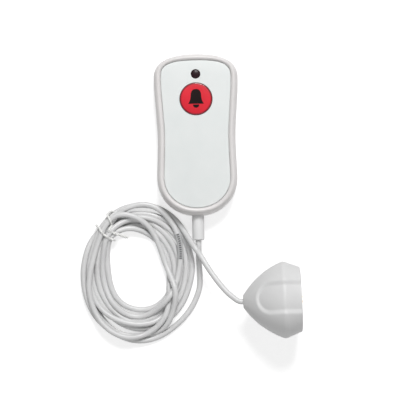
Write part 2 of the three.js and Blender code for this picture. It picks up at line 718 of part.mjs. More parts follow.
// One lead wire from the cord's end to the wire plug: number runs from 0 on the left
function handsetWire(number) {
  const spread = number - 1.5;
  const offset = WIRE_SPREAD / 2;
  const x0 = offset * Math.sign(spread);
  const z0 = CORD_Z + (Math.abs(spread) > 1 ? offset : -offset);
  const x1 = WIRE_PITCH * spread;
  const start = CORD_END_Y + WIRE_CLEARANCE;
  const end = WIRE_PLUG_Y - WIRE_CLEARANCE;
  const third = (end - start) / 3;
  return tube([
    [x0, start, z0],
    [x0, start + third, z0],
    [x1, end - third, WIRE_PLUG_Z],
    [x1, end, WIRE_PLUG_Z],
  ], WIRE_RADIUS, WIRE_STEP, 6);
}

// Plug pieces lie along +X from the tail, with the middle of the widest ring at x = 0

const TAIL_X = -PLUG_TAIL_TO_RING;
const FACE_X = PLUG_RING_TO_FACE;
const SEAT_X = FACE_X - FACE_PLATE_THICKNESS - GAP;
const PLUG_CAVITY_RADIUS = PLUG_FACE_RADIUS - PLUG_LIP;

function alongX(profile, sides) {
  return turned(profile, sides).rotateY(Math.PI / 2);
}

// The plug's side from tail to face as radius and place pairs, pushed in by inset
function plugSide(inset) {
  const ogive = new THREE.QuadraticBezierCurve(
    new THREE.Vector2(PLUG_TAIL_RADIUS, TAIL_X),
    new THREE.Vector2(PLUG_BULGE_RADIUS, TAIL_X + PLUG_BULGE_X),
    new THREE.Vector2(PLUG_RING_RADIUS, -PLUG_RING_ROUND / 2),
  );
  const side = [];
  for (let i = 0; i <= PLUG_SIDE_STEPS; i += 1) {
    const point = ogive.getPoint(i / PLUG_SIDE_STEPS);
    const tangent = ogive.getTangent(i / PLUG_SIDE_STEPS);
    side.push([point.x - inset * tangent.y, point.y + inset * tangent.x]);
  }
  const slope = (PLUG_RING_RADIUS - PLUG_FACE_RADIUS) / PLUG_RING_TO_FACE;
  side.push([PLUG_RING_RADIUS - slope * PLUG_RING_ROUND - inset, PLUG_RING_ROUND]);
  side.push([PLUG_FACE_RADIUS - inset, FACE_X - PLUG_FACE_ROUND]);
  return side;
}

// The U-shaped field of one finger recess: closed and round towards the tail, open at the face
function recessField() {
  const closed = TAIL_X + RECESS_FROM_TAIL;
  const open = FACE_X + 2 * OVERCUT;
  const round = RECESS_HALF_TAIL;
  const wide = RECESS_HALF_TAIL + RECESS_FLARE;
  const shape = new THREE.Shape();
  shape.moveTo(closed, 0);
  shape.bezierCurveTo(closed, -0.8 * round, closed + 0.4 * round, -round, closed + 1.2 * round, -wide);
  shape.quadraticCurveTo(0, -RECESS_HALF_FACE, open, -RECESS_HALF_FACE);
  shape.lineTo(open, RECESS_HALF_FACE);
  shape.quadraticCurveTo(0, RECESS_HALF_FACE, closed + 1.2 * round, wide);
  shape.bezierCurveTo(closed + 0.4 * round, round, closed, 0.8 * round, closed, 0);
  const depth = PLUG_RING_RADIUS + OVERCUT;
  return new THREE.ExtrudeGeometry(shape, { depth, bevelEnabled: false, curveSegments: 6 });
}

function plugShell() {
  const bore = CORD_RADIUS + GAP;
  const tailWallEnd = TAIL_X + PLUG_TAIL_WALL;
  const hollow = ([, x]) => x > tailWallEnd + OVERCUT && x < SEAT_X - OVERCUT;
  const inner = plugSide(PLUG_WALL).filter(hollow);
  const profile = [
    [bore, TAIL_X],
    ...plugSide(0),
    [PLUG_FACE_RADIUS - PLUG_FACE_ROUND, FACE_X],
    [PLUG_CAVITY_RADIUS, FACE_X],
    [PLUG_CAVITY_RADIUS, SEAT_X],
    ...inner.reverse().map(([radius, x]) => [Math.min(radius, PLUG_CAVITY_RADIUS - PLUG_SEAT), x]),
    [bore + PLUG_TAIL_FUNNEL, tailWallEnd],
    [bore, tailWallEnd],
    [bore, TAIL_X],
  ];
  const body = alongX(profile, PLUG_SIDES);
  const fieldAll = toSolid(recessField());
  const kept = toSolid(alongX([
    [0, TAIL_X - OVERCUT],
    ...plugSide(RECESS_DEPTH),
    [PLUG_FACE_RADIUS - RECESS_DEPTH, FACE_X + 3 * OVERCUT],
    [0, FACE_X + 3 * OVERCUT],
  ], PLUG_SIDES));
  const scoop = fieldAll.subtract(kept);
  let solid = toSolid(body);
  for (let i = 0; i < RECESS_COUNT; i += 1) {
    solid = solid.subtract(scoop.rotate([(360 * i) / RECESS_COUNT, 0, 0]));
  }
  return toGeometry(solid);
}

const CONTACT_PLACES = [-1, 1].flatMap((y) => [-1, 1].map((z) => [
  (y * CONTACT_PITCH) / 2,
  (z * CONTACT_PITCH) / 2,
]));

function plugFace() {
  const radius = PLUG_CAVITY_RADIUS - GAP;
  const plate = alongX([
    [0, SEAT_X + GAP],
    [radius, SEAT_X + GAP],
    [radius, FACE_X],
    [0, FACE_X],
  ], 48);
  const bore = CONTACT_RADIUS + GAP;
  const cut = CONTACT_PLACES.map(([y, z]) => (
    rod(0, 0, SEAT_X - OVERCUT, FACE_X + OVERCUT, bore, 14).rotateY(Math.PI / 2).translate(0, y, z)
  ));
  return carve(plate, { cut });
}

// One contact: a round-nosed pin with a collar behind the face plate that stops it falling out
function contactPin() {
  const nose = FACE_X + CONTACT_PROUD;
  const collar = SEAT_X;
  return alongX([
    [0, SEAT_X - CONTACT_SUNK],
    [CONTACT_RADIUS - PIN_CLEARANCE, SEAT_X - CONTACT_SUNK],
    [CONTACT_RADIUS - PIN_CLEARANCE, collar - CONTACT_COLLAR_LENGTH],
    [CONTACT_RADIUS + CONTACT_COLLAR, collar - CONTACT_COLLAR_LENGTH],
    [CONTACT_RADIUS + CONTACT_COLLAR, collar],
    [CONTACT_RADIUS, collar],
    [CONTACT_RADIUS, nose - CONTACT_NOSE],
    [0.6 * CONTACT_RADIUS, nose - CONTACT_NOSE / 5],
    [0, nose],
  ], 14);
}

// The block behind the face plate: a stepped bore for each pin and its spring
function contactCarrier() {
  const half = CARRIER_SIZE / 2;
  const body = block(SEAT_X - CARRIER_DEPTH, SEAT_X, -half, half, -half, half);
  const cut = [];
  for (const [y, z] of CONTACT_PLACES) {
    const counter = CONTACT_COLLAR_LENGTH + CONTACT_TRAVEL + GAP;
    const deep = CONTACT_SUNK + CONTACT_TRAVEL + GAP;
    const wide = CONTACT_RADIUS + CONTACT_COLLAR + PIN_CLEARANCE;
    cut.push(rod(0, 0, SEAT_X - counter, SEAT_X + OVERCUT, wide, 14).rotateY(Math.PI / 2).translate(0, y, z));
    cut.push(rod(0, 0, SEAT_X - deep, SEAT_X, CONTACT_RADIUS, 14).rotateY(Math.PI / 2).translate(0, y, z));
  }
  return carve(body, { cut });
}

function disc(x0, x1, radius, sides = 24) {
  return alongX([
    [0, x0],
    [radius, x0],
    [radius, x1],
    [0, x1],
  ], sides);
}

function crimpRing() {
  const bore = CORD_RADIUS + GAP;
  const x0 = TAIL_X + PLUG_TAIL_WALL + GAP;
  return alongX([
    [bore, x0],
    [CRIMP_RADIUS, x0],
    [CRIMP_RADIUS, x0 + CRIMP_LENGTH],
    [bore, x0 + CRIMP_LENGTH],
    [bore, x0],
  ], 20);
}

// Coil: an oval ring whose section changes around it

function coilSection(angle) {
  const table = [...COIL_SECTIONS, [COIL_SECTIONS[0][0] + 360, ...COIL_SECTIONS[0].slice(1)]];
  const next = table.findIndex(([at]) => at > angle);
  const [from, to] = [table[next - 1], table[next]];
  const share = (angle - from[0]) / (to[0] - from[0]);
  const [inner, outer, low, high] = [1, 2, 3, 4].map((k) => from[k] + share * (to[k] - from[k]));
  return { inner, outer, low, high };
}

function coilPoint(radius, angleDeg, z) {
  const angle = THREE.MathUtils.degToRad(angleDeg);
  return new THREE.Vector3(
    COIL_X + radius * Math.cos(angle),
    COIL_Y + COIL_STRETCH * radius * Math.sin(angle),
    z,
  );
}

function coilRing() {
  const rings = [];
  const round = CORD_RADIUS;
  const near = round * (1 - Math.SQRT1_2);
  for (let angle = 0; angle < 360; angle += COIL_STEP_DEG) {
    const { inner, outer, low, high } = coilSection(angle);
    const outline = [
      [inner + round, low], [inner + near, low + near], [inner, low + round],
      [inner, high - round], [inner + near, high - near], [inner + round, high],
      [outer - round, high], [outer - near, high - near], [outer, high - round],
      [outer, low + round], [outer - near, low + near], [outer - round, low],
    ];
    rings.push(outline.map(([radius, z]) => coilPoint(radius, angle, z)));
  }
  return loft(rings, true);
}

// The wire tie: one closed loop around the coil and a tail that points inside it
function coilTie() {
  const outer = coilPoint(TIE_OUTER_RADIUS, TIE_OUTER_DEG, 0);
  const inner = coilPoint(TIE_INNER_RADIUS, TIE_INNER_DEG, 0);
  const middle = outer.clone().add(inner).multiplyScalar(0.5);
  const across = inner.clone().sub(middle);
  const rise = (TIE_HIGH_Z - TIE_LOW_Z) / 2;
  const lift = (TIE_HIGH_Z + TIE_LOW_Z) / 2;
  const rings = [];
  const steps = 20;
  const sides = 6;
  const power = 0.6;
  const bow = (value) => Math.sign(value) * Math.abs(value) ** power;
  const at = (i) => {
    const angle = (2 * Math.PI * (i % steps)) / steps;
    const point = middle.clone().addScaledVector(across, bow(Math.cos(angle)));
    return point.setZ(lift + rise * bow(Math.sin(angle)));
  };
  const sideways = new THREE.Vector3(0, 0, 1).cross(across).normalize();
  for (let i = 0; i < steps; i += 1) {
    const tangent = at(i + 1).sub(at(i + steps - 1)).normalize();
    const normal = sideways.clone().cross(tangent).normalize();
    const centre = at(i);
    const section = [];
    for (let k = 0; k < sides; k += 1) {
      const turn = (2 * Math.PI * k) / sides;
      section.push(centre.clone()
        .addScaledVector(normal, (TIE_DIAMETER / 2) * Math.cos(turn))
        .addScaledVector(sideways, (TIE_DIAMETER / 2) * Math.sin(turn)));
    }
    rings.push(section);
  }
  const loop = loft(rings, true);
  const twist = at(steps / 4).addScaledVector(across, 0.15).toArray();
  return carve(loop, { join: [tube([twist, ...TIE_TAIL], 0.45 * TIE_DIAMETER, 3, 7)] });
}

// Assembly

const part = new THREE.Group();

function node(parent, name, geometry, finish) {
  const mesh = new THREE.Mesh(geometry, finish);
  mesh.name = name;
  parent.add(mesh);
  return mesh;
}

function handset() {
  const group = new THREE.Group();
  node(group, "back_cover", backCover(), MATERIALS.casing);
  node(group, "front_cover", frontCover(), MATERIALS.casing);
  node(group, "face_plate", facePlate(), MATERIALS.panel);
  node(group, "button_cap", buttonCap(), MATERIALS.button);
  const bellLow = CAP_TOP_Z - BELL_THICKNESS;
  node(group, "bell_symbol", raised(bellShape(), BELL_Y, bellLow, CAP_TOP_Z), MATERIALS.symbol);
  node(group, "bell_clapper", raised(clapperShape(), CLAPPER_Y, bellLow, CAP_TOP_Z), MATERIALS.symbol);
  node(group, "lamp_lens", lampLens(), MATERIALS.lamp);
  node(group, "lamp_led", lampLed(), MATERIALS.light);
  node(group, "circuit_board", circuitBoard(), MATERIALS.board);
  node(group, "switch_body", switchBody(), MATERIALS.component);
  const plungerLow = SWITCH_TOP_Z - PLUNGER_SUNK;
  const plunger = rod(0, BUTTON_Y, plungerLow, PLUNGER_TOP_Z, PLUNGER_RADIUS, 20);
  node(group, "switch_plunger", plunger, MATERIALS.component);
  for (const [side, x] of [["left", -LIGHT_OFFSET], ["right", LIGHT_OFFSET]]) {
    const lightLow = BOARD_TOP_Z + GAP;
    const light = block(x - LIGHT_WIDTH / 2, x + LIGHT_WIDTH / 2, BUTTON_Y - LIGHT_LENGTH / 2,
      BUTTON_Y + LIGHT_LENGTH / 2, lightLow, lightLow + LIGHT_HEIGHT);
    node(group, `button_light_${side}`, light, MATERIALS.light);
  }
  CASE_SCREWS.forEach(([x, y], i) => {
    const length = SCREW_TIP_Z - SCREW_SEAT_Z + GAP;
    const mesh = node(group, `case_screw_${i + 1}`,
      screw(SCREW_RADIUS, length, SCREW_HEAD_RADIUS, SCREW_HEAD_HEIGHT, 20), MATERIALS.steel);
    mesh.rotation.x = Math.PI;
    mesh.position.set(x, y, SCREW_SEAT_Z - GAP);
  });
  BOARD_POSTS.slice(0, BOARD_SCREW_COUNT).forEach(([x, y], i) => {
    const mesh = node(group, `board_screw_${i + 1}`, screw(BOARD_SCREW_RADIUS, BOARD_SCREW_LENGTH - GAP,
      BOARD_SCREW_HEAD, BOARD_SCREW_HEAD_HEIGHT, 14), MATERIALS.steel);
    mesh.position.set(x, y, BOARD_TOP_Z + GAP);
  });
  node(group, "cord_clamp", clampBar(), MATERIALS.component);
  [-CLAMP_SCREW_X, CLAMP_SCREW_X].forEach((x, i) => {
    const mesh = node(group, `clamp_screw_${i + 1}`, screw(CLAMP_SCREW_RADIUS, CLAMP_SCREW_LENGTH - GAP,
      CLAMP_SCREW_HEAD_RADIUS, CLAMP_SCREW_HEAD_HEIGHT, 14), MATERIALS.steel);
    mesh.position.set(x, CLAMP_Y, CLAMP_Z + CLAMP_THICKNESS + GAP);
  });
  const sleeve = node(group, "cord_sleeve", cordSleeve(), MATERIALS.sleeve);
  sleeve.position.set(0, END_Y, CORD_Z);
  const core = rod(0, 0, 0, CORD_END_Y - SLEEVE_END_Y, CORD_RADIUS, 16).rotateX(-Math.PI / 2);
  node(group, "cord_end", core, MATERIALS.cord).position.set(0, SLEEVE_END_Y, CORD_Z);
  node(group, "board_socket", boardSocket(), MATERIALS.light);
  node(group, "wire_plug", wirePlug(), MATERIALS.component);
  Object.entries(WIRE_COLOURS).forEach(([colour, value], i) => {
    node(group, `wire_${colour}`, handsetWire(i), material(value, 0.5));
  });
  return group;
}

function plug() {
  const group = new THREE.Group();
  node(group, "plug_shell", plugShell(), MATERIALS.plug);
  node(group, "plug_face", plugFace(), MATERIALS.plug);
  node(group, "contact_carrier", contactCarrier(), MATERIALS.component);
  CONTACT_PLACES.forEach(([y, z], i) => {
    node(group, `contact_pin_${i + 1}`, contactPin(), MATERIALS.contact).position.set(0, y, z);
  });
  [-MAGNET_OFFSET, MAGNET_OFFSET].forEach((y, i) => {
    const magnet = disc(SEAT_X - MAGNET_THICKNESS, SEAT_X, MAGNET_RADIUS);
    node(group, `plug_magnet_${i + 1}`, magnet, MATERIALS.steel).position.set(0, y, 0);
  });
  const boardX = SEAT_X - CARRIER_DEPTH - GAP - PLUG_BOARD_THICKNESS;
  node(group, "plug_board", disc(boardX, boardX + PLUG_BOARD_THICKNESS, PLUG_BOARD_RADIUS), MATERIALS.board);
  const cordInside = TAIL_X + PLUG_TAIL_WALL + GAP + CRIMP_LENGTH + CRIMP_FROM_CORD_END;
  node(group, "plug_cord_end", disc(TAIL_X, cordInside, CORD_RADIUS, 16), MATERIALS.cord);
  node(group, "plug_crimp", crimpRing(), MATERIALS.steel);
  const turn = THREE.MathUtils.degToRad(PLUG_TURN_DEG);
  const tilt = THREE.MathUtils.degToRad(PLUG_TILT_DEG);
  group.rotation.set(0, -tilt, turn, "ZYX");
  group.position.set(PLUG_X, PLUG_Y, (PLUG_RING_RADIUS + 0.05) * Math.cos(tilt));
  group.updateMatrixWorld(true);
  return group;
}

function leads(plugGroup) {
  const group = new THREE.Group();
  const leaving = [0, SLEEVE_END_Y - GAP, CORD_Z];
  node(group, "handset_lead", tube([leaving, ...HANDSET_LEAD], CORD_RADIUS, LEAD_STEP * CORD_DIAMETER),
    MATERIALS.cord);
  const tail = [GAP, PLUG_LEAD_STRAIGHT].map((out) => (
    new THREE.Vector3(TAIL_X - out, 0, 0).applyMatrix4(plugGroup.matrixWorld).toArray()
  ));
  node(group, "plug_lead", tube([...tail, ...PLUG_LEAD], CORD_RADIUS, LEAD_STEP * CORD_DIAMETER),
    MATERIALS.cord);
  node(group, "cord_coil", coilRing(), MATERIALS.cord);
  node(group, "coil_tie", coilTie(), MATERIALS.tie);
  return group;
}

const plugGroup = plug();
part.add(handset(), plugGroup, leads(plugGroup));

export default part;
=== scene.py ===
"""Looks of the bed call button: its casing, button, coiled cord, wire tie and pull-off plug."""

import json
from math import atan2, cos, degrees, pi, radians, sin

import bpy
import numpy as np
from mathutils import Matrix, Vector


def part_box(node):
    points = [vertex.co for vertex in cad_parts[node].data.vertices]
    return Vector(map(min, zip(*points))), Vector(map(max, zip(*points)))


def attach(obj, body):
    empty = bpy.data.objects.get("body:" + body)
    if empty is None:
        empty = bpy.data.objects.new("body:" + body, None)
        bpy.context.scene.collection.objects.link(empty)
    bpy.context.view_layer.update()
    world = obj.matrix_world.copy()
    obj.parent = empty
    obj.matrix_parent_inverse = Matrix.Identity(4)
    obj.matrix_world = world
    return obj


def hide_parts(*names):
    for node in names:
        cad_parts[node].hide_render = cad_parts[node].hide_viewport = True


MM = 0.001

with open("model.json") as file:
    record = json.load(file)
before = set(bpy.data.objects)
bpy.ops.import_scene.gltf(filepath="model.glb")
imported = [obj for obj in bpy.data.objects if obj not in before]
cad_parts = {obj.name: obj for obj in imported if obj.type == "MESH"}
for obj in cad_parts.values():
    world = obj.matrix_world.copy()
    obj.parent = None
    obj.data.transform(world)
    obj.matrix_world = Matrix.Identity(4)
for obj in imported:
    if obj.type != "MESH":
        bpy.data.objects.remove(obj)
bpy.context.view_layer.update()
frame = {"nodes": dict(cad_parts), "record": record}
scene = bpy.context.scene
scene.view_settings.view_transform = "Standard"

# Camera: near the straight view from above, leaning a little towards the foot
CAMERA_TARGET = Vector((1.45, -42.4, 9)) * MM
CAMERA_DISTANCE = 900 * MM
CAMERA_LEAN = radians(4)
CAMERA_ROLL = radians(1.02)
CAMERA_LENS = 124.6


def aim_camera():
    camera = bpy.data.objects.new("camera", bpy.data.cameras.new("camera"))
    scene.collection.objects.link(camera)
    camera.data.lens = CAMERA_LENS
    camera.data.sensor_width = 36
    camera.data.clip_start = 0.01
    back = Vector((0, -sin(CAMERA_LEAN), cos(CAMERA_LEAN)))
    up = Vector((0, cos(CAMERA_LEAN), sin(CAMERA_LEAN)))
    right = Vector((cos(CAMERA_ROLL), 0, 0)) - sin(CAMERA_ROLL) * up
    up = back.cross(right)
    turn = Matrix((right, up, back)).transposed().to_4x4()
    camera.matrix_world = Matrix.Translation(CAMERA_TARGET + CAMERA_DISTANCE * back) @ turn
    scene.camera = camera


aim_camera()

# Sizes of the handset in millimetres, as in the part's source, but with a rim 0.4 narrower
GAP = 0.3
HANDSET_LENGTH = 105.3
HANDSET_HEIGHT = 19
HEAD_WIDTH = 54.9
WAIST_WIDTH = 50.6
FOOT_WIDTH = 52.1
HEAD_FROM_TOP = 15.2
WAIST_FROM_TOP = 56.2
FOOT_FROM_END = 24.4
TOP_Y = HANDSET_LENGTH / 2
END_Y = -HANDSET_LENGTH / 2
WALL = 2
SPLIT_Z = 9
TONGUE_HEIGHT = 1.5
TONGUE_WIDTH = 0.7
BACK_EDGE = 4.5
RIM_WIDTH = 4.5
RIM_CREST = 2.9
RIM_TOP = 3
RIM_SHOULDER_Z = 11.5
PANEL_Z = HANDSET_HEIGHT - 1.3
PLATE_THICKNESS = 1.2
LEDGE_Z = PANEL_Z - PLATE_THICKNESS - GAP
CEILING_Z = LEDGE_Z - WALL
BUTTON_Y = TOP_Y - 30
BUTTON_RADIUS = 10.45
BUTTON_TOP_Z = PANEL_Z + 0.5
LAMP_Y = TOP_Y - 13.7
LAMP_RADIUS = 3
CORD_Z = SPLIT_Z + GAP / 2
CORD_DIAMETER = 3.66
SLEEVE_RADIUS = 3.9
SLEEVE_END_Y = END_Y - 15.8
BOSS_RADIUS = 4
SCREW_HEAD_RADIUS = 2.9
SCREW_HEAD_DEPTH = 2.4
SCREW_RADIUS = 1.55
FLANGE = 1.5

# Cord: the two free leads are lists of points, the coil between them is seven turns
COIL_X = -39
COIL_Y = -89
COIL_STRETCH = 1.22
COIL_SCALE = 0.652
HANDSET_LEAD = [
    (0, -75.4, 8.5),
    (0.1, -82.6, 6),
    (0.5, -90.6, 3.2),
    (0.2, -98.6, 2),
    (-2.2, -106, 1.9),
    (-6, -113, 1.9),
    (-10.4, -118.6, 1.9),
]
PLUG_LEAD = [
    (24.4, -108, 23.1),
    (21.9, -106.2, 22.4),
    (18.4, -103.2, 21.2),
    (14.3, -98.6, 19.3),
    (9.7, -92.4, 16.8),
    (5.3, -85.7, 14.6),
    (1.6, -79.4, 12.9),
    (-3.4, -72.1, 12),
    (-6.2, -68.1, 10.6),
    (-7.6, -65, 9.2),
]
# Each turn passes these angles with a radius and a height: seven turns, from the handset's end on
STATIONS = [115, 79, 43, 7, -29, -65, -101, -137, -173, -209]
TURNS = [
    [
        (49, 3.5), (49, 3.5), (51.5, 2.5), (53.6, 1.9), (48.3, 1.9),
        (47.5, 1.9), (45, 3), (43, 4), (48.5, 2.5), (47, 2.2),
    ],
    [
        (42, 2), (39, 2), (35.7, 5), (35.8, 5), (34.5, 4),
        (32.5, 2.5), (29.6, 2), (31.2, 5), (30.5, 5), (36.5, 5.2),
    ],
    [
        (40, 5.4), (36, 5.2), (32, 2), (32, 2), (35.8, 5.3),
        (46.1, 8.8), (53.8, 9), (55, 9), (49.8, 9), (47, 8.6),
    ],
    [
        (52.5, 9.2), (40.8, 9.2), (29.3, 8.6), (28.5, 6.5), (39.5, 9.3),
        (51.5, 5), (53.6, 1.9), (54.6, 1.9), (52, 1.9), (50, 2.2),
    ],
    [
        (45, 2), (42, 1.9), (39.5, 1.9), (39.5, 1.9), (39.5, 1.9),
        (40.5, 1.9), (41.5, 1.9), (41.5, 1.9), (41.2, 4), (45.8, 5.6),
    ],
    [
        (52.8, 6), (57, 9), (51, 9.2), (41, 8.8), (36, 7.5),
        (34.5, 6.5), (36.6, 6), (37.5, 6.5), (36, 5.5), (40, 8.4),
    ],
    [
        (44, 8.4), (45.4, 7), (48.9, 6), (47.3, 5.5), (43, 5.5),
        (41.5, 5.5), (41.8, 5.5), (46.5, 6), (50.5, 5.4), (50, 5.4),
    ],
]
FIRST_ARC = [(-65, 54.4, 1.9), (-101, 53.8, 5.4), (-137, 54.8, 5.4), (-173, 54.6, 4.5), (-209, 51, 4.5)]
LAST_ARC = [(115, 55, 5.4), (79, 56.4, 5.2), (58, 56.8, 5.6)]
LEAD_EASE = 6
TIE_ANGLE = 133
TIE_INNER_REACH = 26.3
TIE_OUTER_REACH = 34.6
TIE_MIDDLE_REACH = 30.5
TIE_LIFT = 1.15
TIE_HIGHEST = 10.3
MARKER_TURN = 6
MARKER_ANGLES = (13.6, 39.3)
ROUTE_STEP = 2.4
SETTLE_ROUNDS = 500


def coil_point(angle, radius, height):
    a = radians(angle)
    reach = COIL_SCALE * radius
    return COIL_X + reach * cos(a), COIL_Y + COIL_STRETCH * reach * sin(a), height


def resample(points, step):
    lengths = np.linalg.norm(np.diff(points, axis=0), axis=1)
    along = np.concatenate([[0], np.cumsum(lengths)])
    places = np.linspace(0, along[-1], max(2, round(along[-1] / step)) + 1)
    return np.stack([np.interp(places, along, points[:, k]) for k in range(3)], axis=1)


def smooth_line(points, step):
    """A centripetal curve through the points, as points at an even distance."""
    p = np.array(points, float)
    p = np.vstack([2 * p[0] - p[1], p, 2 * p[-1] - p[-2]])
    t = np.concatenate([[0], np.cumsum(np.linalg.norm(np.diff(p, axis=0), axis=1) ** 0.5)])
    line = []
    for i in range(1, len(p) - 2):
        t0, t1, t2, t3 = t[i - 1:i + 3]
        for u in np.linspace(t1, t2, 24, endpoint=False):
            a1 = ((t1 - u) * p[i - 1] + (u - t0) * p[i]) / (t1 - t0)
            a2 = ((t2 - u) * p[i] + (u - t1) * p[i + 1]) / (t2 - t1)
            a3 = ((t3 - u) * p[i + 1] + (u - t2) * p[i + 2]) / (t3 - t2)
            b1 = ((t2 - u) * a1 + (u - t0) * a2) / (t2 - t0)
            b2 = ((t3 - u) * a2 + (u - t1) * a3) / (t3 - t1)
            line.append(((t2 - u) * b1 + (u - t1) * b2) / (t2 - t1))
    return resample(np.array([*line, p[-2]]), step)


def run_length(points):
    return float(np.linalg.norm(np.diff(np.array(points, float), axis=0), axis=1).sum())


def around_coil(points):
    u = points[:, 0] - COIL_X
    v = (points[:, 1] - COIL_Y) / COIL_STRETCH
    return np.hypot(u, v), np.degrees(np.arctan2(v, u)) % 360


def settle(start, free):
    """Moves the free points until the strands lie on each other and on the surface without overlap."""
    p = start.copy()
    pairs = np.triu_indices(len(p), int(np.ceil(2.2 * CORD_DIAMETER / ROUTE_STEP)))
    for turn in range(SETTLE_ROUNDS):
        if turn % 20 == 0:
            near = ((p[pairs[1]] - p[pairs[0]]) ** 2).sum(1) < (2.2 * CORD_DIAMETER) ** 2
            first, second = pairs[0][near], pairs[1][near]
        offset = p[second] - p[first]
        distance = np.sqrt((offset * offset).sum(1)) + 1e-9
        close = distance < CORD_DIAMETER
        shove = offset[close] / distance[close, None] * (CORD_DIAMETER - distance[close, None]) / 2
        push = np.zeros_like(p)
        count = np.zeros(len(p))
        for index, sign in ((first[close], -1), (second[close], 1)):
            np.add.at(push, index, sign * shove)
            np.add.at(count, index, 1)
        p += 1.3 * free[:, None] * push / np.maximum(count, 1)[:, None]
        bend = np.zeros_like(p)
        bend[1:-1] = (p[:-2] + p[2:]) / 2 - p[1:-1]
        even = bend.copy()
        even[1:-1] = bend[1:-1] - (bend[:-2] + bend[2:]) / 2
        p += 0.5 * free[:, None] * even
        ease = 1 if turn < 0.7 * SETTLE_ROUNDS else 0.2
        p += ease * free[:, None] * (start - p) * (0.02, 0.02, 0.003)
        p[:, 2] -= 0.02 * ease * free
        gather_at_tie(p, free > 0)
    return p


def gather_at_tie(p, free):
    """The tie pulls its strands together, and its wire lies under them."""
    reach, angle = around_coil(p)
    tied = (np.abs(angle - TIE_ANGLE) < 5) & free
    scale = np.where(tied, 0.5 + 0.5 * np.clip(reach, TIE_INNER_REACH, TIE_OUTER_REACH) / reach, 1)
    p[:, 0] = COIL_X + (p[:, 0] - COIL_X) * scale
    p[:, 1] = COIL_Y + (p[:, 1] - COIL_Y) * scale
    lift = TIE_LIFT * np.clip(1 - np.abs(angle - TIE_ANGLE) / 14, 0, 1)
    lift *= np.abs(reach - TIE_MIDDLE_REACH) < 9
    lowest = CORD_DIAMETER / 2 + 0.03 + lift
    p[free, 2] = np.maximum(p[free, 2], lowest[free])
    p[tied, 2] = np.minimum(p[tied, 2], TIE_HIGHEST)


def cord_route():
    low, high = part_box("plug_cord_end")
    tail = low / MM
    out_y = (low.y + high.y) / 2 / MM
    out_z = (low.z + high.z) / 2 / MM
    points = [(0, SLEEVE_END_Y + 0.3, CORD_Z), (0, SLEEVE_END_Y - 2, CORD_Z - 0.1), *HANDSET_LEAD]
    points += [coil_point(*place) for place in FIRST_ARC]
    for turn in TURNS:
        points += [coil_point(angle, *place) for angle, place in zip(STATIONS, turn)]
    points += [coil_point(*place) for place in LAST_ARC]
    points += PLUG_LEAD[::-1]
    points += [(tail.x - 1.3, out_y - 0.25, out_z - 0.25), (tail.x + 0.4, out_y - 0.2, out_z - 0.2)]
    route = smooth_line(points, ROUTE_STEP)
    along = np.arange(len(route)) * ROUTE_STEP
    lead_in = run_length(HANDSET_LEAD) - LEAD_EASE
    lead_out = run_length(PLUG_LEAD) - LEAD_EASE
    free = ((along > lead_in) & (along < along[-1] - lead_out)).astype(float)
    return smooth_line(settle(route, free), 1.3)


def wire_curve(name, points, diameter, sides=6):
    data = bpy.data.curves.new(name, "CURVE")
    data.dimensions = "3D"
    data.bevel_depth = diameter / 2 * MM
    data.bevel_resolution = sides
    data.use_fill_caps = True
    spline = data.splines.new("POLY")
    spline.points.add(len(points) - 1)
    for point, place in zip(spline.points, points):
        point.co = (*(MM * float(c) for c in place), 1)
    spline.use_smooth = True
    thing = bpy.data.objects.new(name, data)
    scene.collection.objects.link(thing)
    return thing


ROUTE = cord_route()
cord = wire_curve("cord", ROUTE, CORD_DIAMETER)

# Mesh tools


def select_only(*things):
    if bpy.context.object and bpy.context.object.mode != "OBJECT":
        bpy.ops.object.mode_set(mode="OBJECT")
    bpy.ops.object.select_all(action="DESELECT")
    for thing in things:
        thing.select_set(True)
    bpy.context.view_layer.objects.active = things[0]


def flatten_place(thing):
    select_only(thing)
    bpy.ops.object.transform_apply(location=True, rotation=True, scale=True)
    return thing


def use_modifier(thing, kind, **settings):
    select_only(thing)
    modifier = thing.modifiers.new(kind.lower(), kind)
    for key, value in settings.items():
        setattr(modifier, key, value)
    bpy.ops.object.modifier_apply(modifier=modifier.name)


def cut_with(thing, cutter, operation="DIFFERENCE"):
    use_modifier(thing, "BOOLEAN", object=cutter, operation=operation, solver="EXACT")
    bpy.data.objects.remove(cutter)


def smooth(thing, angle=32):
    select_only(thing)
    bpy.ops.object.shade_smooth_by_angle(angle=radians(angle))


def rod(x, y, z0, z1, radius, sides=64):
    bpy.ops.object.select_all(action="DESELECT")
    place = (x * MM, y * MM, (z0 + z1) / 2 * MM)
    depth = (z1 - z0) * MM
    bpy.ops.mesh.primitive_cylinder_add(vertices=sides, radius=radius * MM, depth=depth, location=place)
    return flatten_place(bpy.context.object)


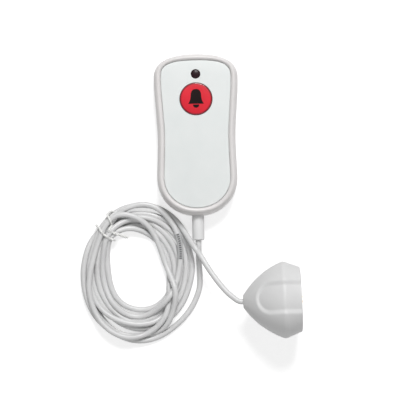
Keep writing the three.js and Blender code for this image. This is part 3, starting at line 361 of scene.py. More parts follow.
def outline_slab(name, z, inset=0):
    """The handset's outline as one flat face at height z, squarer at its head the further in it lies."""
    head_y = TOP_Y - HEAD_FROM_TOP
    waist_y = TOP_Y - WAIST_FROM_TOP
    foot_y = END_Y + FOOT_FROM_END
    head, waist, foot = (width / 2 - inset for width in (HEAD_WIDTH, WAIST_WIDTH, FOOT_WIDTH))
    low, high = waist_y - foot_y, head_y - waist_y
    top_y, end_y = TOP_Y - 0.96 * inset, END_Y + inset
    flat, upright = 0.65 + 0.02 * inset, 0.67 + 0.03 * inset
    # point, handle before, handle after, going round from the foot's end up the right side
    right = [
        ((0, end_y), (-0.59 * foot, end_y), (0.59 * foot, end_y)),
        ((foot, foot_y), (foot, foot_y - 0.56 * (foot_y - end_y)), (foot, foot_y + 0.37 * low)),
        ((waist, waist_y), (waist, waist_y - 0.41 * low), (waist, waist_y + 0.35 * high)),
        ((head, head_y), (head, head_y - 0.37 * high), (head, head_y + upright * (top_y - head_y))),
        ((0, top_y), (flat * head, top_y), (-flat * head, top_y)),
    ]
    left = [tuple((-x, y) for x, y in (p, after, before)) for p, before, after in right[3:0:-1]]
    knots = right + left
    data = bpy.data.curves.new(name, "CURVE")
    data.dimensions = "2D"
    data.resolution_u = 24
    data.fill_mode = "BOTH"
    spline = data.splines.new("BEZIER")
    spline.use_cyclic_u = True
    spline.bezier_points.add(len(knots) - 1)
    for point, (place, before, after) in zip(spline.bezier_points, knots):
        point.handle_left_type = point.handle_right_type = "FREE"
        point.co = (*(c * MM for c in place), 0)
        point.handle_left = (*(c * MM for c in before), 0)
        point.handle_right = (*(c * MM for c in after), 0)
    thing = bpy.data.objects.new(name, data)
    scene.collection.objects.link(thing)
    select_only(thing)
    bpy.ops.object.convert(target="MESH")
    thing = bpy.context.object
    bpy.ops.object.mode_set(mode="EDIT")
    bpy.ops.mesh.select_all(action="SELECT")
    bpy.ops.mesh.remove_doubles(threshold=0.00001)
    bpy.ops.mesh.dissolve_limited(angle_limit=radians(1), use_dissolve_boundaries=False)
    bpy.ops.mesh.select_all(action="SELECT")
    bpy.ops.transform.translate(value=(0, 0, z * MM))
    bpy.ops.object.mode_set(mode="OBJECT")
    return thing


def extrude_up(thing, height):
    """Turns the slab's one face into a closed block, its top face selected."""
    select_only(thing)
    bpy.ops.object.mode_set(mode="EDIT")
    bpy.ops.mesh.select_mode(type="FACE")
    bpy.ops.mesh.select_all(action="SELECT")
    bpy.ops.mesh.extrude_region_move(TRANSFORM_OT_translate={"value": (0, 0, height * MM)})
    bpy.ops.mesh.select_all(action="SELECT")
    bpy.ops.mesh.normals_make_consistent(inside=False)
    bpy.ops.object.mode_set(mode="OBJECT")


def select_cap(thing, top):
    """Selects the big flat face that looks up, or down."""
    select_only(thing)
    for part in (thing.data.vertices, thing.data.edges, thing.data.polygons):
        for item in part:
            item.select = False
    caps = [f for f in thing.data.polygons if (f.normal.z > 0.9) == top and abs(f.normal.z) > 0.9]
    max(caps, key=lambda f: f.area).select = True
    bpy.ops.object.mode_set(mode="EDIT")
    bpy.ops.mesh.select_mode(type="FACE")


def step_in(thing, top, profile):
    """Works the cap inwards: each pair is the next inset and height of its edge, in millimetres."""
    select_cap(thing, top)
    inset, z = profile[0]
    for next_inset, next_z in profile[1:]:
        rise = (next_z - z) * MM
        if next_inset != inset:
            depth = rise if top else -rise
            bpy.ops.mesh.inset(thickness=(next_inset - inset) * MM, depth=depth, use_even_offset=True)
        else:
            bpy.ops.mesh.extrude_region_move(TRANSFORM_OT_translate={"value": (0, 0, rise)})
        inset, z = next_inset, next_z
    bpy.ops.object.mode_set(mode="OBJECT")


def quarter(inset, z0, z1, steps):
    """A rounded edge as inset and height pairs."""
    turns = [pi / 2 * i / steps for i in range(1, steps + 1)]
    return [(inset * (1 - cos(a)), z0 + (z1 - z0) * sin(a)) for a in turns]


def turned(name, profile, sides=96, axis="Z"):
    """Spins a profile of radius and height pairs around the axis, closed on it or on itself."""
    bpy.ops.object.select_all(action="DESELECT")
    bpy.ops.mesh.primitive_plane_add(size=1 * MM)
    thing = bpy.context.object
    thing.name = name
    bpy.ops.object.mode_set(mode="EDIT")
    bpy.ops.mesh.select_mode(type="VERT")
    bpy.ops.mesh.select_all(action="SELECT")
    bpy.ops.mesh.merge(type="CENTER")
    radius, height = profile[0]
    bpy.ops.transform.translate(value=(radius * MM, 0, height * MM))
    for next_radius, next_height in profile[1:]:
        move = ((next_radius - radius) * MM, 0, (next_height - height) * MM)
        bpy.ops.mesh.extrude_vertices_move(TRANSFORM_OT_translate={"value": move})
        radius, height = next_radius, next_height
    bpy.ops.mesh.select_all(action="SELECT")
    bpy.ops.mesh.spin(steps=sides, angle=2 * pi, center=(0, 0, 0), axis=(0, 0, 1))
    bpy.ops.mesh.select_all(action="SELECT")
    bpy.ops.mesh.remove_doubles(threshold=0.000004)
    bpy.ops.mesh.normals_make_consistent(inside=False)
    bpy.ops.object.mode_set(mode="OBJECT")
    if axis == "X":
        thing.matrix_world = Matrix.Rotation(pi / 2, 4, "Y")
    if axis == "-Y":
        thing.matrix_world = Matrix.Rotation(pi / 2, 4, "X")
    return flatten_place(thing)


def put(thing, x, y, z):
    thing.location = (x * MM, y * MM, z * MM)
    return flatten_place(thing)


# Handset


def front_cover():
    thing = outline_slab("front_cover_shell", SPLIT_Z + GAP)
    extrude_up(thing, RIM_SHOULDER_Z - SPLIT_Z - GAP)
    step_in(thing, True, [(0, RIM_SHOULDER_Z), *quarter(RIM_CREST, RIM_SHOULDER_Z, HANDSET_HEIGHT, 12)])
    cut_with(thing, panel_pocket())
    tongue = WALL - TONGUE_WIDTH - GAP
    step = SPLIT_Z + TONGUE_HEIGHT + GAP
    low = SPLIT_Z + GAP
    step_in(thing, False, [(0, low), (tongue, low), (tongue, step), (WALL, step), (WALL, CEILING_Z)])
    cut_with(thing, rod(0, BUTTON_Y, CEILING_Z - 1, LEDGE_Z + 1, BUTTON_RADIUS + GAP, 128))
    cut_with(thing, rod(0, LAMP_Y, CEILING_Z - 1, LEDGE_Z + 1, LAMP_RADIUS + GAP))
    cut_with(thing, sleeve_hole())
    smooth(thing)
    return thing


def panel_pocket():
    """What the front cover leaves free above its ledge: the rim's inner slope, then straight down."""
    thing = outline_slab("pocket", HANDSET_HEIGHT, RIM_TOP)
    extrude_up(thing, 1)
    slope = RIM_WIDTH - RIM_TOP
    step_in(thing, False, [
        (0, HANDSET_HEIGHT),
        (0.3 * slope, HANDSET_HEIGHT - 0.1),
        (0.6 * slope, HANDSET_HEIGHT - 0.4),
        (0.85 * slope, HANDSET_HEIGHT - 0.85),
        (slope, PANEL_Z + 0.1),
        (slope, LEDGE_Z),
    ])
    return thing


def sleeve_hole():
    hole = rod(0, 0, -BACK_EDGE, BACK_EDGE, SLEEVE_RADIUS + 0.15)
    hole.matrix_world = Matrix.Translation((0, END_Y * MM, CORD_Z * MM)) @ Matrix.Rotation(pi / 2, 4, "X")
    return flatten_place(hole)


def screw_places():
    boxes = [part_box(f"case_screw_{i}") for i in range(1, 5)]
    return [((a.x + b.x) / 2 / MM, (a.y + b.y) / 2 / MM) for a, b in boxes]


def back_cover():
    thing = outline_slab("back_cover_shell", BACK_EDGE)
    extrude_up(thing, SPLIT_Z - BACK_EDGE)
    tongue = WALL - TONGUE_WIDTH
    rise = SPLIT_Z + TONGUE_HEIGHT
    step_in(thing, True, [(0, SPLIT_Z), (tongue, SPLIT_Z), (tongue, rise), (WALL, rise), (WALL, WALL)])
    step_in(thing, False, [(0, BACK_EDGE), *quarter(BACK_EDGE, BACK_EDGE, 0, 10)])
    for x, y in screw_places():
        cut_with(thing, rod(x, y, WALL / 2, SPLIT_Z, BOSS_RADIUS, 32), "UNION")
        cut_with(thing, rod(x, y, -1, SCREW_HEAD_DEPTH, SCREW_HEAD_RADIUS, 48))
        cut_with(thing, rod(x, y, 1, SPLIT_Z + 1, SCREW_RADIUS, 32))
    cut_with(thing, sleeve_hole())
    smooth(thing)
    return thing


def face_plate():
    """The face plate: the rim's top line worked in to the pocket, then its outer ring removed."""
    low = LEDGE_Z + GAP
    edge = PANEL_Z - 0.3
    thing = outline_slab("face_panel", low, RIM_TOP)
    select_cap(thing, thing.data.polygons[0].normal.z > 0)
    bpy.ops.mesh.inset(thickness=(RIM_WIDTH - RIM_TOP + GAP) * MM, depth=0, use_even_offset=True)
    bpy.ops.mesh.select_all(action="INVERT")
    bpy.ops.mesh.delete(type="FACE")
    bpy.ops.mesh.select_all(action="SELECT")
    bpy.ops.mesh.delete_loose(use_verts=True, use_edges=True, use_faces=False)
    bpy.ops.object.mode_set(mode="OBJECT")
    extrude_up(thing, edge - low)
    step_in(thing, True, [(0, edge), (0.2, PANEL_Z - 0.12), (0.45, PANEL_Z - 0.03), (0.7, PANEL_Z)])
    cut_with(thing, rod(0, BUTTON_Y, low - 1, PANEL_Z + 1, BUTTON_RADIUS + GAP, 128))
    cut_with(thing, rod(0, LAMP_Y, low - 1, PANEL_Z + 1, LAMP_RADIUS + 0.12))
    smooth(thing)
    return thing


def symbol_slab(name, points, z0, z1):
    """A flat shape with the given outline, as tall as z0 to z1."""
    bpy.ops.object.select_all(action="DESELECT")
    bpy.ops.mesh.primitive_circle_add(vertices=len(points), radius=MM, fill_type="NGON")
    thing = bpy.context.object
    thing.name = name
    for vertex, (x, y) in zip(thing.data.vertices, points):
        vertex.co = (x * MM, y * MM, z0 * MM)
    extrude_up(thing, z1 - z0)
    return thing


def bezier(points, steps):
    """Points on a curve with three or four control points, without its last."""
    out = []
    for i in range(steps):
        layer = [Vector(p) for p in points]
        while len(layer) > 1:
            layer = [a.lerp(b, i / steps) for a, b in zip(layer, layer[1:])]
        out.append(tuple(layer[0]))
    return out


BELL_WIDTH = 10.3
BELL_HEIGHT = 9.6
BELL_Y = BUTTON_Y + 0.16 * BELL_HEIGHT
CLAPPER_RADIUS = 2.1
CLAPPER_Y = BELL_Y - BELL_HEIGHT / 2 - 0.5


def bell_outline(grow=0):
    half = BELL_WIDTH / 2 + grow
    dome = 0.66 * BELL_WIDTH / 2 + grow
    top = BELL_HEIGHT / 2 + grow
    base = -BELL_HEIGHT / 2 - grow
    shoulder = top - 0.45 * BELL_HEIGHT
    right = bezier([(half, base), (dome + 0.1, base + 0.22 * BELL_HEIGHT), (dome, shoulder)], 12)
    right += bezier([(dome, shoulder), (dome, top - 0.1 * BELL_HEIGHT), (0.5 * dome, top), (0, top)], 14)
    left = [(-x, y) for x, y in reversed(right)]
    return [(x, y + BELL_Y) for x, y in [*right, (0, top), *left]]


def clapper_outline(grow=0):
    radius = CLAPPER_RADIUS + grow
    arc = [(radius * cos(pi + pi * i / 20), radius * sin(pi + pi * i / 20)) for i in range(21)]
    return [(x, y + CLAPPER_Y) for x, y in [*arc, (radius, grow), (-radius, grow)]]


def button_pieces():
    flange_top = CEILING_Z - 0.5
    low = flange_top - 1.4
    inside = BUTTON_RADIUS - 1.45
    edge = [(BUTTON_RADIUS - i, BUTTON_TOP_Z - 0.6 + h) for i, h in quarter(0.6, 0, 0.6, 6)]
    cap = turned("button_dome", [
        (0, low + 0.1),
        (2.5, low + 0.1),
        (2.5, BUTTON_TOP_Z - 2),
        (inside, BUTTON_TOP_Z - 2),
        (inside, low),
        (BUTTON_RADIUS + FLANGE, low),
        (BUTTON_RADIUS + FLANGE, flange_top),
        (BUTTON_RADIUS, flange_top),
        (BUTTON_RADIUS, BUTTON_TOP_Z - 0.6),
        *edge,
        (0, BUTTON_TOP_Z),
    ], 128)
    put(cap, 0, BUTTON_Y, 0)
    pocket = BUTTON_TOP_Z - 0.4
    cut_with(cap, symbol_slab("cut", bell_outline(0.02), pocket, BUTTON_TOP_Z + 1))
    cut_with(cap, symbol_slab("cut", clapper_outline(0.02), pocket, BUTTON_TOP_Z + 1))
    smooth(cap)
    bell = symbol_slab("bell_inlay", bell_outline(), pocket + 0.01, BUTTON_TOP_Z - 0.02)
    clapper = symbol_slab("clapper_inlay", clapper_outline(), pocket + 0.01, BUTTON_TOP_Z - 0.02)
    return cap, bell, clapper


def lamp_dome():
    top = PANEL_Z + 0.4
    flange_top = CEILING_Z - GAP
    inside = LAMP_RADIUS - 1
    crown = [(LAMP_RADIUS * cos(a), top - 0.7 + 0.7 * sin(a)) for a in (pi / 2 * i / 10 for i in range(10))]
    thing = turned("lamp_dome", [
        (0, top - 1.1),
        (inside, top - 1.6),
        (inside, flange_top - 1.3),
        (LAMP_RADIUS + 1.1, flange_top - 1.3),
        (LAMP_RADIUS + 1.1, flange_top),
        (LAMP_RADIUS, flange_top),
        *crown,
        (0, top),
    ], 64)
    smooth(put(thing, 0, LAMP_Y, 0), 40)
    return thing


def cord_grommet():
    bore = CORD_DIAMETER / 2 + 0.12
    r = SLEEVE_RADIUS
    end = -SLEEVE_END_Y + END_Y
    edge = [(r - i, end - 0.7 + h) for i, h in quarter(0.7, 0, 0.7, 6)]
    thing = turned("cord_grommet", [
        (bore, -4.9),
        (4.7, -4.9),
        (4.7, -2.9),
        (r, -2.9),
        (r, end - 0.7),
        *edge,
        (bore + 0.35, end),
        (bore, end - 0.35),
        (bore, -4.9),
    ], 72, "-Y")
    smooth(put(thing, 0, END_Y, CORD_Z), 35)
    return thing


# Plug, made along X from its tail with the widest ring at x = 0, then put where the CAD has it
TAIL_X = -26.5
FACE_X = 10.4
RING_RADIUS = 24.4
FACE_RADIUS = 21
TAIL_RADIUS = 4.6
CAVITY_RADIUS = 18.4
SEAT_X = FACE_X - 2.8
RECESS_DEPTH = 1.7
RECESS_TURN_DEG = 5
RECESS_START_X = TAIL_X + 7.9
RECESS_ROUND = 10
RECESS_HALF_WIDTH = 10.8
RECESS_WALL = 2.8
PLUG_TURN = radians(1.5)
PLUG_TILT = radians(2)
PLUG_PLACE = Vector((54.2, -108, (RING_RADIUS + 0.05) * cos(PLUG_TILT)))


def plug_matrix():
    turn = Matrix.Rotation(PLUG_TURN, 4, "Z") @ Matrix.Rotation(-PLUG_TILT, 4, "Y")
    return Matrix.Translation(PLUG_PLACE * MM) @ turn


def into_plug(thing):
    thing.matrix_world = plug_matrix() @ thing.matrix_world
    return flatten_place(thing)


def ease(t):
    t = min(1, max(0, t))
    return t * t * (3 - 2 * t)


def recess_share(x, across):
    """How deep a recess is at this place along the plug and across it, from 0 to 1."""
    ahead = max(0, (RECESS_START_X + RECESS_ROUND - x) / RECESS_ROUND)
    inside = 1 - (ahead ** 2 + (across / RECESS_HALF_WIDTH) ** 2) ** 0.5
    return ease(inside * RECESS_HALF_WIDTH / RECESS_WALL)


def plug_body():
    before, after = RING_RADIUS - 0.3, RING_RADIUS - 0.75
    side = bezier([(TAIL_RADIUS, TAIL_X + 0.5), (18.8, TAIL_X + 10.7), (before, -1.6)], 60)
    ring = bezier([(before, -1.6), (RING_RADIUS + 0.3, 0), (after, 2.2)], 8)
    run = FACE_X - 1.4 - 2.2
    slope = [(after - (after - FACE_RADIUS) * t / 16, 2.2 + run * t / 16) for t in range(17)]
    rim = [(FACE_RADIUS - i, FACE_X - 1.4 + h) for i, h in quarter(1.4, 0, 1.4, 6)]
    bore = CORD_DIAMETER / 2 + 0.15
    thing = turned("plug_body", [
        (bore, TAIL_X + 0.5),
        (bore + 0.5, TAIL_X),
        (TAIL_RADIUS - 1.5, TAIL_X),
        (TAIL_RADIUS - 0.6, TAIL_X + 0.13),
        *side,
        *ring,
        *slope,
        *rim,
        (CAVITY_RADIUS + 0.2, FACE_X),
        (CAVITY_RADIUS, FACE_X - 0.2),
        (CAVITY_RADIUS, SEAT_X),
        (CAVITY_RADIUS - 1.2, SEAT_X),
        (17, 2),
        (14, -8),
        (7, TAIL_X + 10),
        (bore + 2, TAIL_X + 7),
        (bore, TAIL_X + 7),
        (bore, TAIL_X + 0.5),
    ], 240, "X")
    for vertex in thing.data.vertices:
        x, y, z = (c / MM for c in vertex.co)
        radius = (y * y + z * z) ** 0.5
        if x > 1 and radius < CAVITY_RADIUS + 0.25 or radius < 0.78 * outer_radius(x):
            continue
        angle = (degrees(atan2(y, z)) - RECESS_TURN_DEG) % 120
        across = radius * sin(radians(angle - 120 if angle > 60 else angle))
        drop = RECESS_DEPTH * recess_share(x, across)
        drop = min(drop, max(0, radius - CAVITY_RADIUS - 0.6)) if x > SEAT_X else drop
        vertex.co.y *= 1 - drop / radius
        vertex.co.z *= 1 - drop / radius
    smooth(thing, 40)
    return into_plug(thing)


def outer_radius(x):
    if x > 0:
        return RING_RADIUS - (RING_RADIUS - FACE_RADIUS) * x / FACE_X
    run = (x - TAIL_X) / -TAIL_X
    return TAIL_RADIUS + (RING_RADIUS - TAIL_RADIUS) * max(0, run) ** 0.62


PIN_RADIUS = 0.9
PIN_COLLAR_RADIUS = 1.25
PIN_HOLE_RADIUS = 1.1
PIN_OFFSET = 1.55
PIN_PLACES = [(y * PIN_OFFSET, z * PIN_OFFSET) for y in (-1, 1) for z in (-1, 1)]


def plug_disc():
    radius = CAVITY_RADIUS - 0.12
    thing = turned("plug_disc", [
        (0, SEAT_X + GAP),
        (radius, SEAT_X + GAP),
        (radius, FACE_X - 0.25),
        (radius - 0.25, FACE_X),
        (0, FACE_X),
    ], 128, "X")
    for y, z in PIN_PLACES:
        hole = rod(0, 0, SEAT_X - 1, FACE_X + 1, PIN_HOLE_RADIUS, 40)
        hole.matrix_world = Matrix.Translation((0, y * MM, z * MM)) @ Matrix.Rotation(pi / 2, 4, "Y")
        cut_with(thing, flatten_place(hole))
    smooth(thing)
    return into_plug(thing)


def pin(number, y, z):
    nose = FACE_X + 0.95
    crown = [(PIN_RADIUS * cos(a), nose - 0.5 + 0.5 * sin(a)) for a in (pi / 2 * i / 8 for i in range(8))]
    thing = turned(f"pin_{number}", [
        (0, SEAT_X - 4.5),
        (0.7, SEAT_X - 4.5),
        (0.7, SEAT_X - 0.8),
        (PIN_COLLAR_RADIUS, SEAT_X - 0.8),
        (PIN_COLLAR_RADIUS, SEAT_X),
        (PIN_RADIUS, SEAT_X),
        *crown,
        (0, nose),
    ], 32, "X")
    put(thing, 0, y, z)
    smooth(thing, 40)
    return into_plug(thing)


# Tie and marker on the cord
TIE_DIAMETER = 1.5
TWIST_DIAMETER = 1
MARKER_WALL = 0.175
DASH_LENGTH = 0.7
DASH_GAP = 0.27
LINE_OFFSET = 0.15
LINE_HALF_WIDTH = 0.75


def as_mesh(thing):
    select_only(thing)
    bpy.ops.object.convert(target="MESH")
    thing = bpy.context.object
    bpy.ops.object.mode_set(mode="EDIT")
    bpy.ops.mesh.select_all(action="SELECT")
    bpy.ops.mesh.remove_doubles(threshold=0.000004)
    bpy.ops.object.mode_set(mode="OBJECT")
    smooth(thing, 50)
    return thing


def strand_top(x, y, lift):
    """The height at which a thin wire lies on the highest strand near x, y."""
    flat = np.hypot(ROUTE[:, 0] - x, ROUTE[:, 1] - y)
    r = CORD_DIAMETER / 2
    under = flat < r
    if not under.any():
        return TIE_DIAMETER / 2 + 0.05
    return float((ROUTE[under, 2] + np.sqrt(r * r - flat[under] ** 2)).max()) + lift


def over_strands(places, rise=0.0):
    lift = TIE_DIAMETER / 2 + 0.05 + rise
    return [(x, y, strand_top(x, y, lift)) for x, y in places]


def wire_tie():
    low = TIE_DIAMETER / 2 + 0.05
    first = over_strands([(-64.2, -59.5), (-62.9, -61.8), (-61.4, -63.6), (-59.6, -65.1), (-57.6, -66.2)])
    first_low = [(-55.3, -67.2, 8.2), (-54.8, -67.3, 4.5), (-56.2, -66.6, low), (-60.5, -63.2, low),
                 (-65.6, -58.4, low), (-66.4, -57.6, 4.4), (-65.9, -58, 8.4)]
    second = over_strands([(-58, -61.3), (-56.9, -59.3), (-56.4, -57.4), (-56.9, -55.2), (-57.9, -53)], 0.1)
    second_low = [(-58.8, -50.6, 8.6), (-57.2, -48.9, 6.4), (-55, -48.8, 4.2), (-53.6, -50.4, 2),
                  (-53.9, -53.5, low), (-56, -58, low)]
    tail = over_strands([(-57.9, -61.2), (-55.4, -62.6), (-53.4, -63.3)], 0.3)
    tail = [*tail, (-51.6, -64, 9.6), (-48.8, -65.1, 8.8), (-45.6, -65.9, 8)]
    loops = [[*first, *first_low, first[0]], [*second, *second_low]]
    strands = [smooth_line(points, 0.7) for points in loops]
    for strand in strands:
        strand[:, 2] = np.maximum(strand[:, 2], low)
    middle = smooth_line(tail, 0.5)
    for phase in (0, pi):
        turn = [phase + i * 0.62 for i in range(len(middle))]
        strands.append(np.array([
            m + 0.5 * np.array((0.4 * cos(a), 0.9 * cos(a), sin(a))) for m, a in zip(middle, turn)
        ]))
    pieces = []
    for i, strand in enumerate(strands):
        size = TIE_DIAMETER if i < 2 else TWIST_DIAMETER
        pieces.append(as_mesh(wire_curve(f"tie_{i}", strand, size, 4)))
    select_only(*pieces)
    bpy.ops.object.join()
    thing = bpy.context.object
    thing.name = "wire_tie"
    return thing


def marker_line():
    """The stretch of the sixth turn, on the coil's right side, that carries the printed marker."""
    turned_by = np.degrees(np.unwrap(np.radians(around_coil(ROUTE)[1])))
    first, last = (angle - 360 * MARKER_TURN for angle in MARKER_ANGLES)
    return ROUTE[(turned_by > first) & (turned_by < last)]


def marker_sleeve(line):
    thing = as_mesh(wire_curve("marker_sleeve", line, CORD_DIAMETER + 2 * MARKER_WALL, 10))
    spots = np.array([v.co for v in thing.data.vertices]) / MM
    gaps = np.linalg.norm(spots[:, None] - line[None], axis=2)
    nearest = gaps.argmin(1)
    run = np.concatenate([[0], np.cumsum(np.linalg.norm(np.diff(line, axis=0), axis=1))])
    attribute = thing.data.attributes.new("run", "FLOAT", "POINT")
    attribute.data.foreach_set("value", run[nearest].astype(np.float32))
    side = spots[:, 0] - line[nearest, 0]
    attribute = thing.data.attributes.new("side", "FLOAT", "POINT")
    attribute.data.foreach_set("value", side.astype(np.float32))
    return thing


# Materials


def socket(group, name, kind, way="INPUT", value=None):
    item = group.interface.new_socket(name, in_out=way, socket_type=kind)
    if value is not None:
        item.default_value = value
    return item


def worked_out(tree, operation, *inputs):
    """A math node with these sockets or numbers as its inputs, as its output socket."""
    node = tree.nodes.new("ShaderNodeMath")
    node.operation = operation
    for slot, value in zip(node.inputs, inputs):
        if isinstance(value, (int, float)):
            slot.default_value = value
        else:
            tree.links.new(value, slot)
    return node.outputs[0]


def attribute_value(tree, name):
    node = tree.nodes.new("ShaderNodeAttribute")
    node.attribute_name = name
    return node.outputs["Fac"]


def blend_base(material, mask, colour):
    """Lets a material's base colour turn to another one where the mask is 1."""
    nodes, links = material.node_tree.nodes, material.node_tree.links
    base = nodes["Principled BSDF"].inputs["Base Color"]
    mix = nodes.new("ShaderNodeMix")
    mix.data_type = "RGBA"
    mix.inputs["B"].default_value = colour
    links.new(mask, mix.inputs["Factor"])
    links.new(base.links[0].from_socket, mix.inputs["A"])
    links.new(mix.outputs["Result"], base)


def moulded_group():
    """Fine moulded surface: a normal from two noise scales and a mask of slow tone changes."""
    group = bpy.data.node_groups.new("moulded_surface", "ShaderNodeTree")
    socket(group, "Grain", "NodeSocketFloat", value=2500)
    socket(group, "Bump", "NodeSocketFloat", value=0.2)
    socket(group, "Normal", "NodeSocketVector", "OUTPUT")
    socket(group, "Tone", "NodeSocketFloat", "OUTPUT")
    nodes, links = group.nodes, group.links
    enter = nodes.new("NodeGroupInput")
    leave = nodes.new("NodeGroupOutput")
    place = nodes.new("ShaderNodeTexCoord")
    fine = nodes.new("ShaderNodeTexNoise")
    fine.inputs["Detail"].default_value = 3
    wide = nodes.new("ShaderNodeTexNoise")
    wide.inputs["Scale"].default_value = 60
    wide.inputs["Detail"].default_value = 4
    bump = nodes.new("ShaderNodeBump")
    bump.inputs["Distance"].default_value = 0.00003
    links.new(place.outputs["Object"], fine.inputs["Vector"])
    links.new(place.outputs["Object"], wide.inputs["Vector"])
    links.new(enter.outputs["Grain"], fine.inputs["Scale"])
    links.new(enter.outputs["Bump"], bump.inputs["Strength"])
    links.new(fine.outputs["Fac"], bump.inputs["Height"])
    links.new(bump.outputs["Normal"], leave.inputs["Normal"])
    links.new(wide.outputs["Fac"], leave.inputs["Tone"])
    return group


MOULDED = moulded_group()


def srgb(*levels):
    return tuple((c / 255 / 12.92 if c < 11 else ((c / 255 + 0.055) / 1.055) ** 2.4) for c in levels) + (1,)


def finish_material(name, light, dark, rough, grain=2500, bump=0.2, metal=0.0, **extra):
    """A material whose colour drifts between light and dark, with a fine surface."""
    material = bpy.data.materials.new(name)
    material.use_nodes = True
    nodes, links = material.node_tree.nodes, material.node_tree.links
    shader = nodes["Principled BSDF"]
    shader.inputs["Metallic"].default_value = metal
    for key, value in extra.items():
        shader.inputs[key.replace("_", " ")].default_value = value
    surface = nodes.new("ShaderNodeGroup")
    surface.node_tree = MOULDED
    surface.inputs["Grain"].default_value = grain
    surface.inputs["Bump"].default_value = bump
    ramp = nodes.new("ShaderNodeValToRGB")
    ramp.color_ramp.elements[0].position = 0.3
    ramp.color_ramp.elements[1].position = 0.7
    ramp.color_ramp.elements[0].color = dark
    ramp.color_ramp.elements[1].color = light
    gloss = nodes.new("ShaderNodeMapRange")
    gloss.inputs["To Min"].default_value = rough * 0.85
    gloss.inputs["To Max"].default_value = rough * 1.15
    links.new(surface.outputs["Tone"], ramp.inputs["Fac"])
    links.new(surface.outputs["Tone"], gloss.inputs["Value"])
    links.new(ramp.outputs["Color"], shader.inputs["Base Color"])
    links.new(gloss.outputs["Result"], shader.inputs["Roughness"])
    links.new(surface.outputs["Normal"], shader.inputs["Normal"])
    return material


def paint_rim_shade(material, centre, radius, edge):
    """Paints shade into the colour of a round piece: it turns darker towards its rim, where the gap around
    it lies in shade.
    """
    nodes, links = material.node_tree.nodes, material.node_tree.links
    place = nodes.new("ShaderNodeTexCoord")
    middle = nodes.new("ShaderNodeVectorMath")
    middle.operation = "SUBTRACT"
    middle.inputs[1].default_value = (0, centre * MM, 0)
    flat = nodes.new("ShaderNodeVectorMath")
    flat.operation = "MULTIPLY"
    flat.inputs[1].default_value = (1, 1, 0)
    reach = nodes.new("ShaderNodeVectorMath")
    reach.operation = "LENGTH"
    share = nodes.new("ShaderNodeMapRange")
    share.interpolation_type = "SMOOTHSTEP"
    share.inputs["From Min"].default_value = (radius - 1.5) * MM
    share.inputs["From Max"].default_value = (radius - 0.1) * MM
    links.new(place.outputs["Object"], middle.inputs[0])
    links.new(middle.outputs["Vector"], flat.inputs[0])
    links.new(flat.outputs["Vector"], reach.inputs[0])
    links.new(reach.outputs["Value"], share.inputs["Value"])
    blend_base(material, share.outputs["Result"], edge)


def marker_material():
    """Grey tinted sleeve with short dark printed dashes along one side."""
    material = finish_material("marker_print", srgb(196, 197, 197), srgb(180, 181, 182), 0.3, 1500, 0.1)
    tree = material.node_tree
    wave = worked_out(tree, "PINGPONG", attribute_value(tree, "run"), DASH_LENGTH)
    dash = worked_out(tree, "GREATER_THAN", wave, DASH_GAP)
    line = worked_out(tree, "COMPARE", attribute_value(tree, "side"), LINE_OFFSET, LINE_HALF_WIDTH)
    blend_base(material, worked_out(tree, "MULTIPLY", dash, line), srgb(92, 92, 94))
    return material


MATERIALS = {
    "casing": finish_material("casing_white", srgb(227, 224, 223), srgb(222, 219, 218), 0.38, 1800, 0.12),
    "panel": finish_material("panel_grey", srgb(226, 229, 228), srgb(222, 226, 225), 0.5, 3200, 0.3),
    "button": finish_material("button_red", srgb(228, 36, 54), srgb(208, 28, 46), 0.22, 900, 0.05,
                              Coat_Weight=0.35, Coat_Roughness=0.12),
    "symbol": finish_material("symbol_black", srgb(30, 19, 20), srgb(22, 13, 14), 0.22, 1500, 0.1,
                              Specular_IOR_Level=0.25),
    "lamp": finish_material("lamp_dark", srgb(44, 24, 30), srgb(38, 20, 26), 0.3, 900, 0.03,
                            Specular_IOR_Level=0.2),
    "board": finish_material("board_green", srgb(47, 106, 65), srgb(40, 92, 56), 0.5),
    "component": finish_material("component_black", srgb(42, 42, 45), srgb(34, 34, 37), 0.5),
    "light": finish_material("light_cream", srgb(236, 231, 212), srgb(228, 222, 202), 0.4),
    "contact": finish_material("contact_gold", srgb(226, 190, 120), srgb(214, 176, 104), 0.28, metal=1.0),
    "steel": finish_material("plated_steel", srgb(200, 201, 203), srgb(186, 187, 190), 0.34, metal=1.0),
    "sleeve": finish_material("sleeve_white", srgb(229, 229, 229), srgb(224, 224, 224), 0.5, 1500, 0.15),
    "cord": finish_material("cord_white", srgb(220, 220, 220), srgb(212, 212, 212), 0.34, 1300, 0.12),
    "plug": finish_material("plug_white", srgb(222, 222, 222), srgb(216, 216, 216), 0.55, 1400, 0.3),
    "tie": finish_material("tie_white", srgb(240, 240, 238), srgb(232, 232, 230), 0.4, 1500, 0.1),
    "wire_brown": finish_material("wire_brown", srgb(107, 68, 40), srgb(96, 60, 34), 0.45),
    "wire_white": finish_material("wire_white", srgb(230, 230, 226), srgb(222, 222, 218), 0.45),
    "wire_green": finish_material("wire_green", srgb(60, 138, 76), srgb(52, 124, 66), 0.45),
    "wire_yellow": finish_material("wire_yellow", srgb(226, 193, 58), srgb(214, 180, 48), 0.45),
}


# Painted shade: the button's red turns dark towards its rim in place of the shade in the gap around it.
paint_rim_shade(MATERIALS["button"], BUTTON_Y, BUTTON_RADIUS, srgb(126, 24, 38))


def dress(thing, slot, body="casing", replaces=(), material=None):
    thing.data.materials.clear()
    thing.data.materials.append(material or MATERIALS[slot])
    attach(thing, body)
    if replaces:
        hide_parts(*replaces)
    return thing


def dress_frame():
    for part in frame["record"]["subparts"]:
        node = frame["nodes"][part["node"]]
        node.data.materials.clear()
        node.data.materials.append(MATERIALS[part["material_slot"]])


# Room


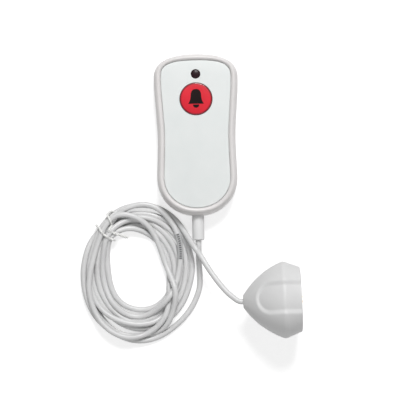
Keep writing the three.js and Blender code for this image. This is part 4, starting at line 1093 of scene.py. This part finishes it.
def room():
    """A pale floor that the camera and reflections see as white, and a plain world."""
    bpy.ops.object.select_all(action="DESELECT")
    bpy.ops.mesh.primitive_plane_add(size=8, location=(0, 0, -0.00005))
    floor = bpy.context.object
    floor.name = "floor"
    material = bpy.data.materials.new("floor_white")
    material.use_nodes = True
    tree = material.node_tree
    shader = tree.nodes["Principled BSDF"]
    shader.inputs["Base Color"].default_value = srgb(205, 205, 205)
    shader.inputs["Roughness"].default_value = 0.9
    rays = tree.nodes.new("ShaderNodeLightPath").outputs
    seen = worked_out(tree, "ADD", rays["Is Camera Ray"], rays["Is Glossy Ray"])
    seen = worked_out(tree, "ADD", seen, rays["Is Transmission Ray"])
    white = tree.nodes.new("ShaderNodeEmission")
    total = tree.nodes.new("ShaderNodeAddShader")
    tree.links.new(worked_out(tree, "MULTIPLY", seen, FLOOR_WHITE), white.inputs["Strength"])
    tree.links.new(shader.outputs[0], total.inputs[0])
    tree.links.new(white.outputs[0], total.inputs[1])
    tree.links.new(total.outputs[0], tree.nodes["Material Output"].inputs["Surface"])
    floor.data.materials.append(material)
    world = bpy.data.worlds.new("studio")
    world.use_nodes = True
    scene.world = world
    back = world.node_tree.nodes["Background"]
    back.inputs["Color"].default_value = (1, 1, 1, 1)
    back.inputs["Strength"].default_value = WORLD_LEVEL


WORLD_LEVEL = 0.26
FLOOR_WHITE = 0.62
LAMPS = [
    ("key", (0.12, 0.75, 1.1), 0.45, 13.5),
    ("fill", (0.1, -0.7, 1), 0.9, 2.8),
]


def lamps():
    for name, place, size, power in LAMPS:
        data = bpy.data.lights.new(name, "AREA")
        data.shape = "DISK"
        data.size = size
        data.energy = power
        lamp = bpy.data.objects.new(name, data)
        scene.collection.objects.link(lamp)
        lamp.location = place
        lamp.rotation_euler = (CAMERA_TARGET - Vector(place)).to_track_quat("-Z", "Y").to_euler()


# Making it
dress_frame()
dress(front_cover(), "casing", replaces=["front_cover"])
dress(back_cover(), "casing", replaces=["back_cover"])
dress(face_plate(), "panel", replaces=["face_plate"])
cap, bell, clapper = button_pieces()
dress(cap, "button", "button", ["button_cap"])
dress(bell, "symbol", "button", ["bell_symbol"])
dress(clapper, "symbol", "button", ["bell_clapper"])
dress(lamp_dome(), "lamp", replaces=["lamp_lens"])
dress(cord_grommet(), "sleeve", replaces=["cord_sleeve"])
body = dress(plug_body(), "plug", replaces=["plug_shell"])
disc = dress(plug_disc(), "plug", replaces=["plug_face"])
pins = [
    dress(pin(i + 1, *place), "contact", f"contact_{i + 1}", [f"contact_pin_{i + 1}"])
    for i, place in enumerate(PIN_PLACES)
]
tie = dress(wire_tie(), "tie", replaces=["coil_tie"])
marker = dress(marker_sleeve(marker_line()), "sleeve", material=marker_material())
dress(cord, "cord", replaces=["handset_lead", "plug_lead", "cord_coil"])
room()
lamps()
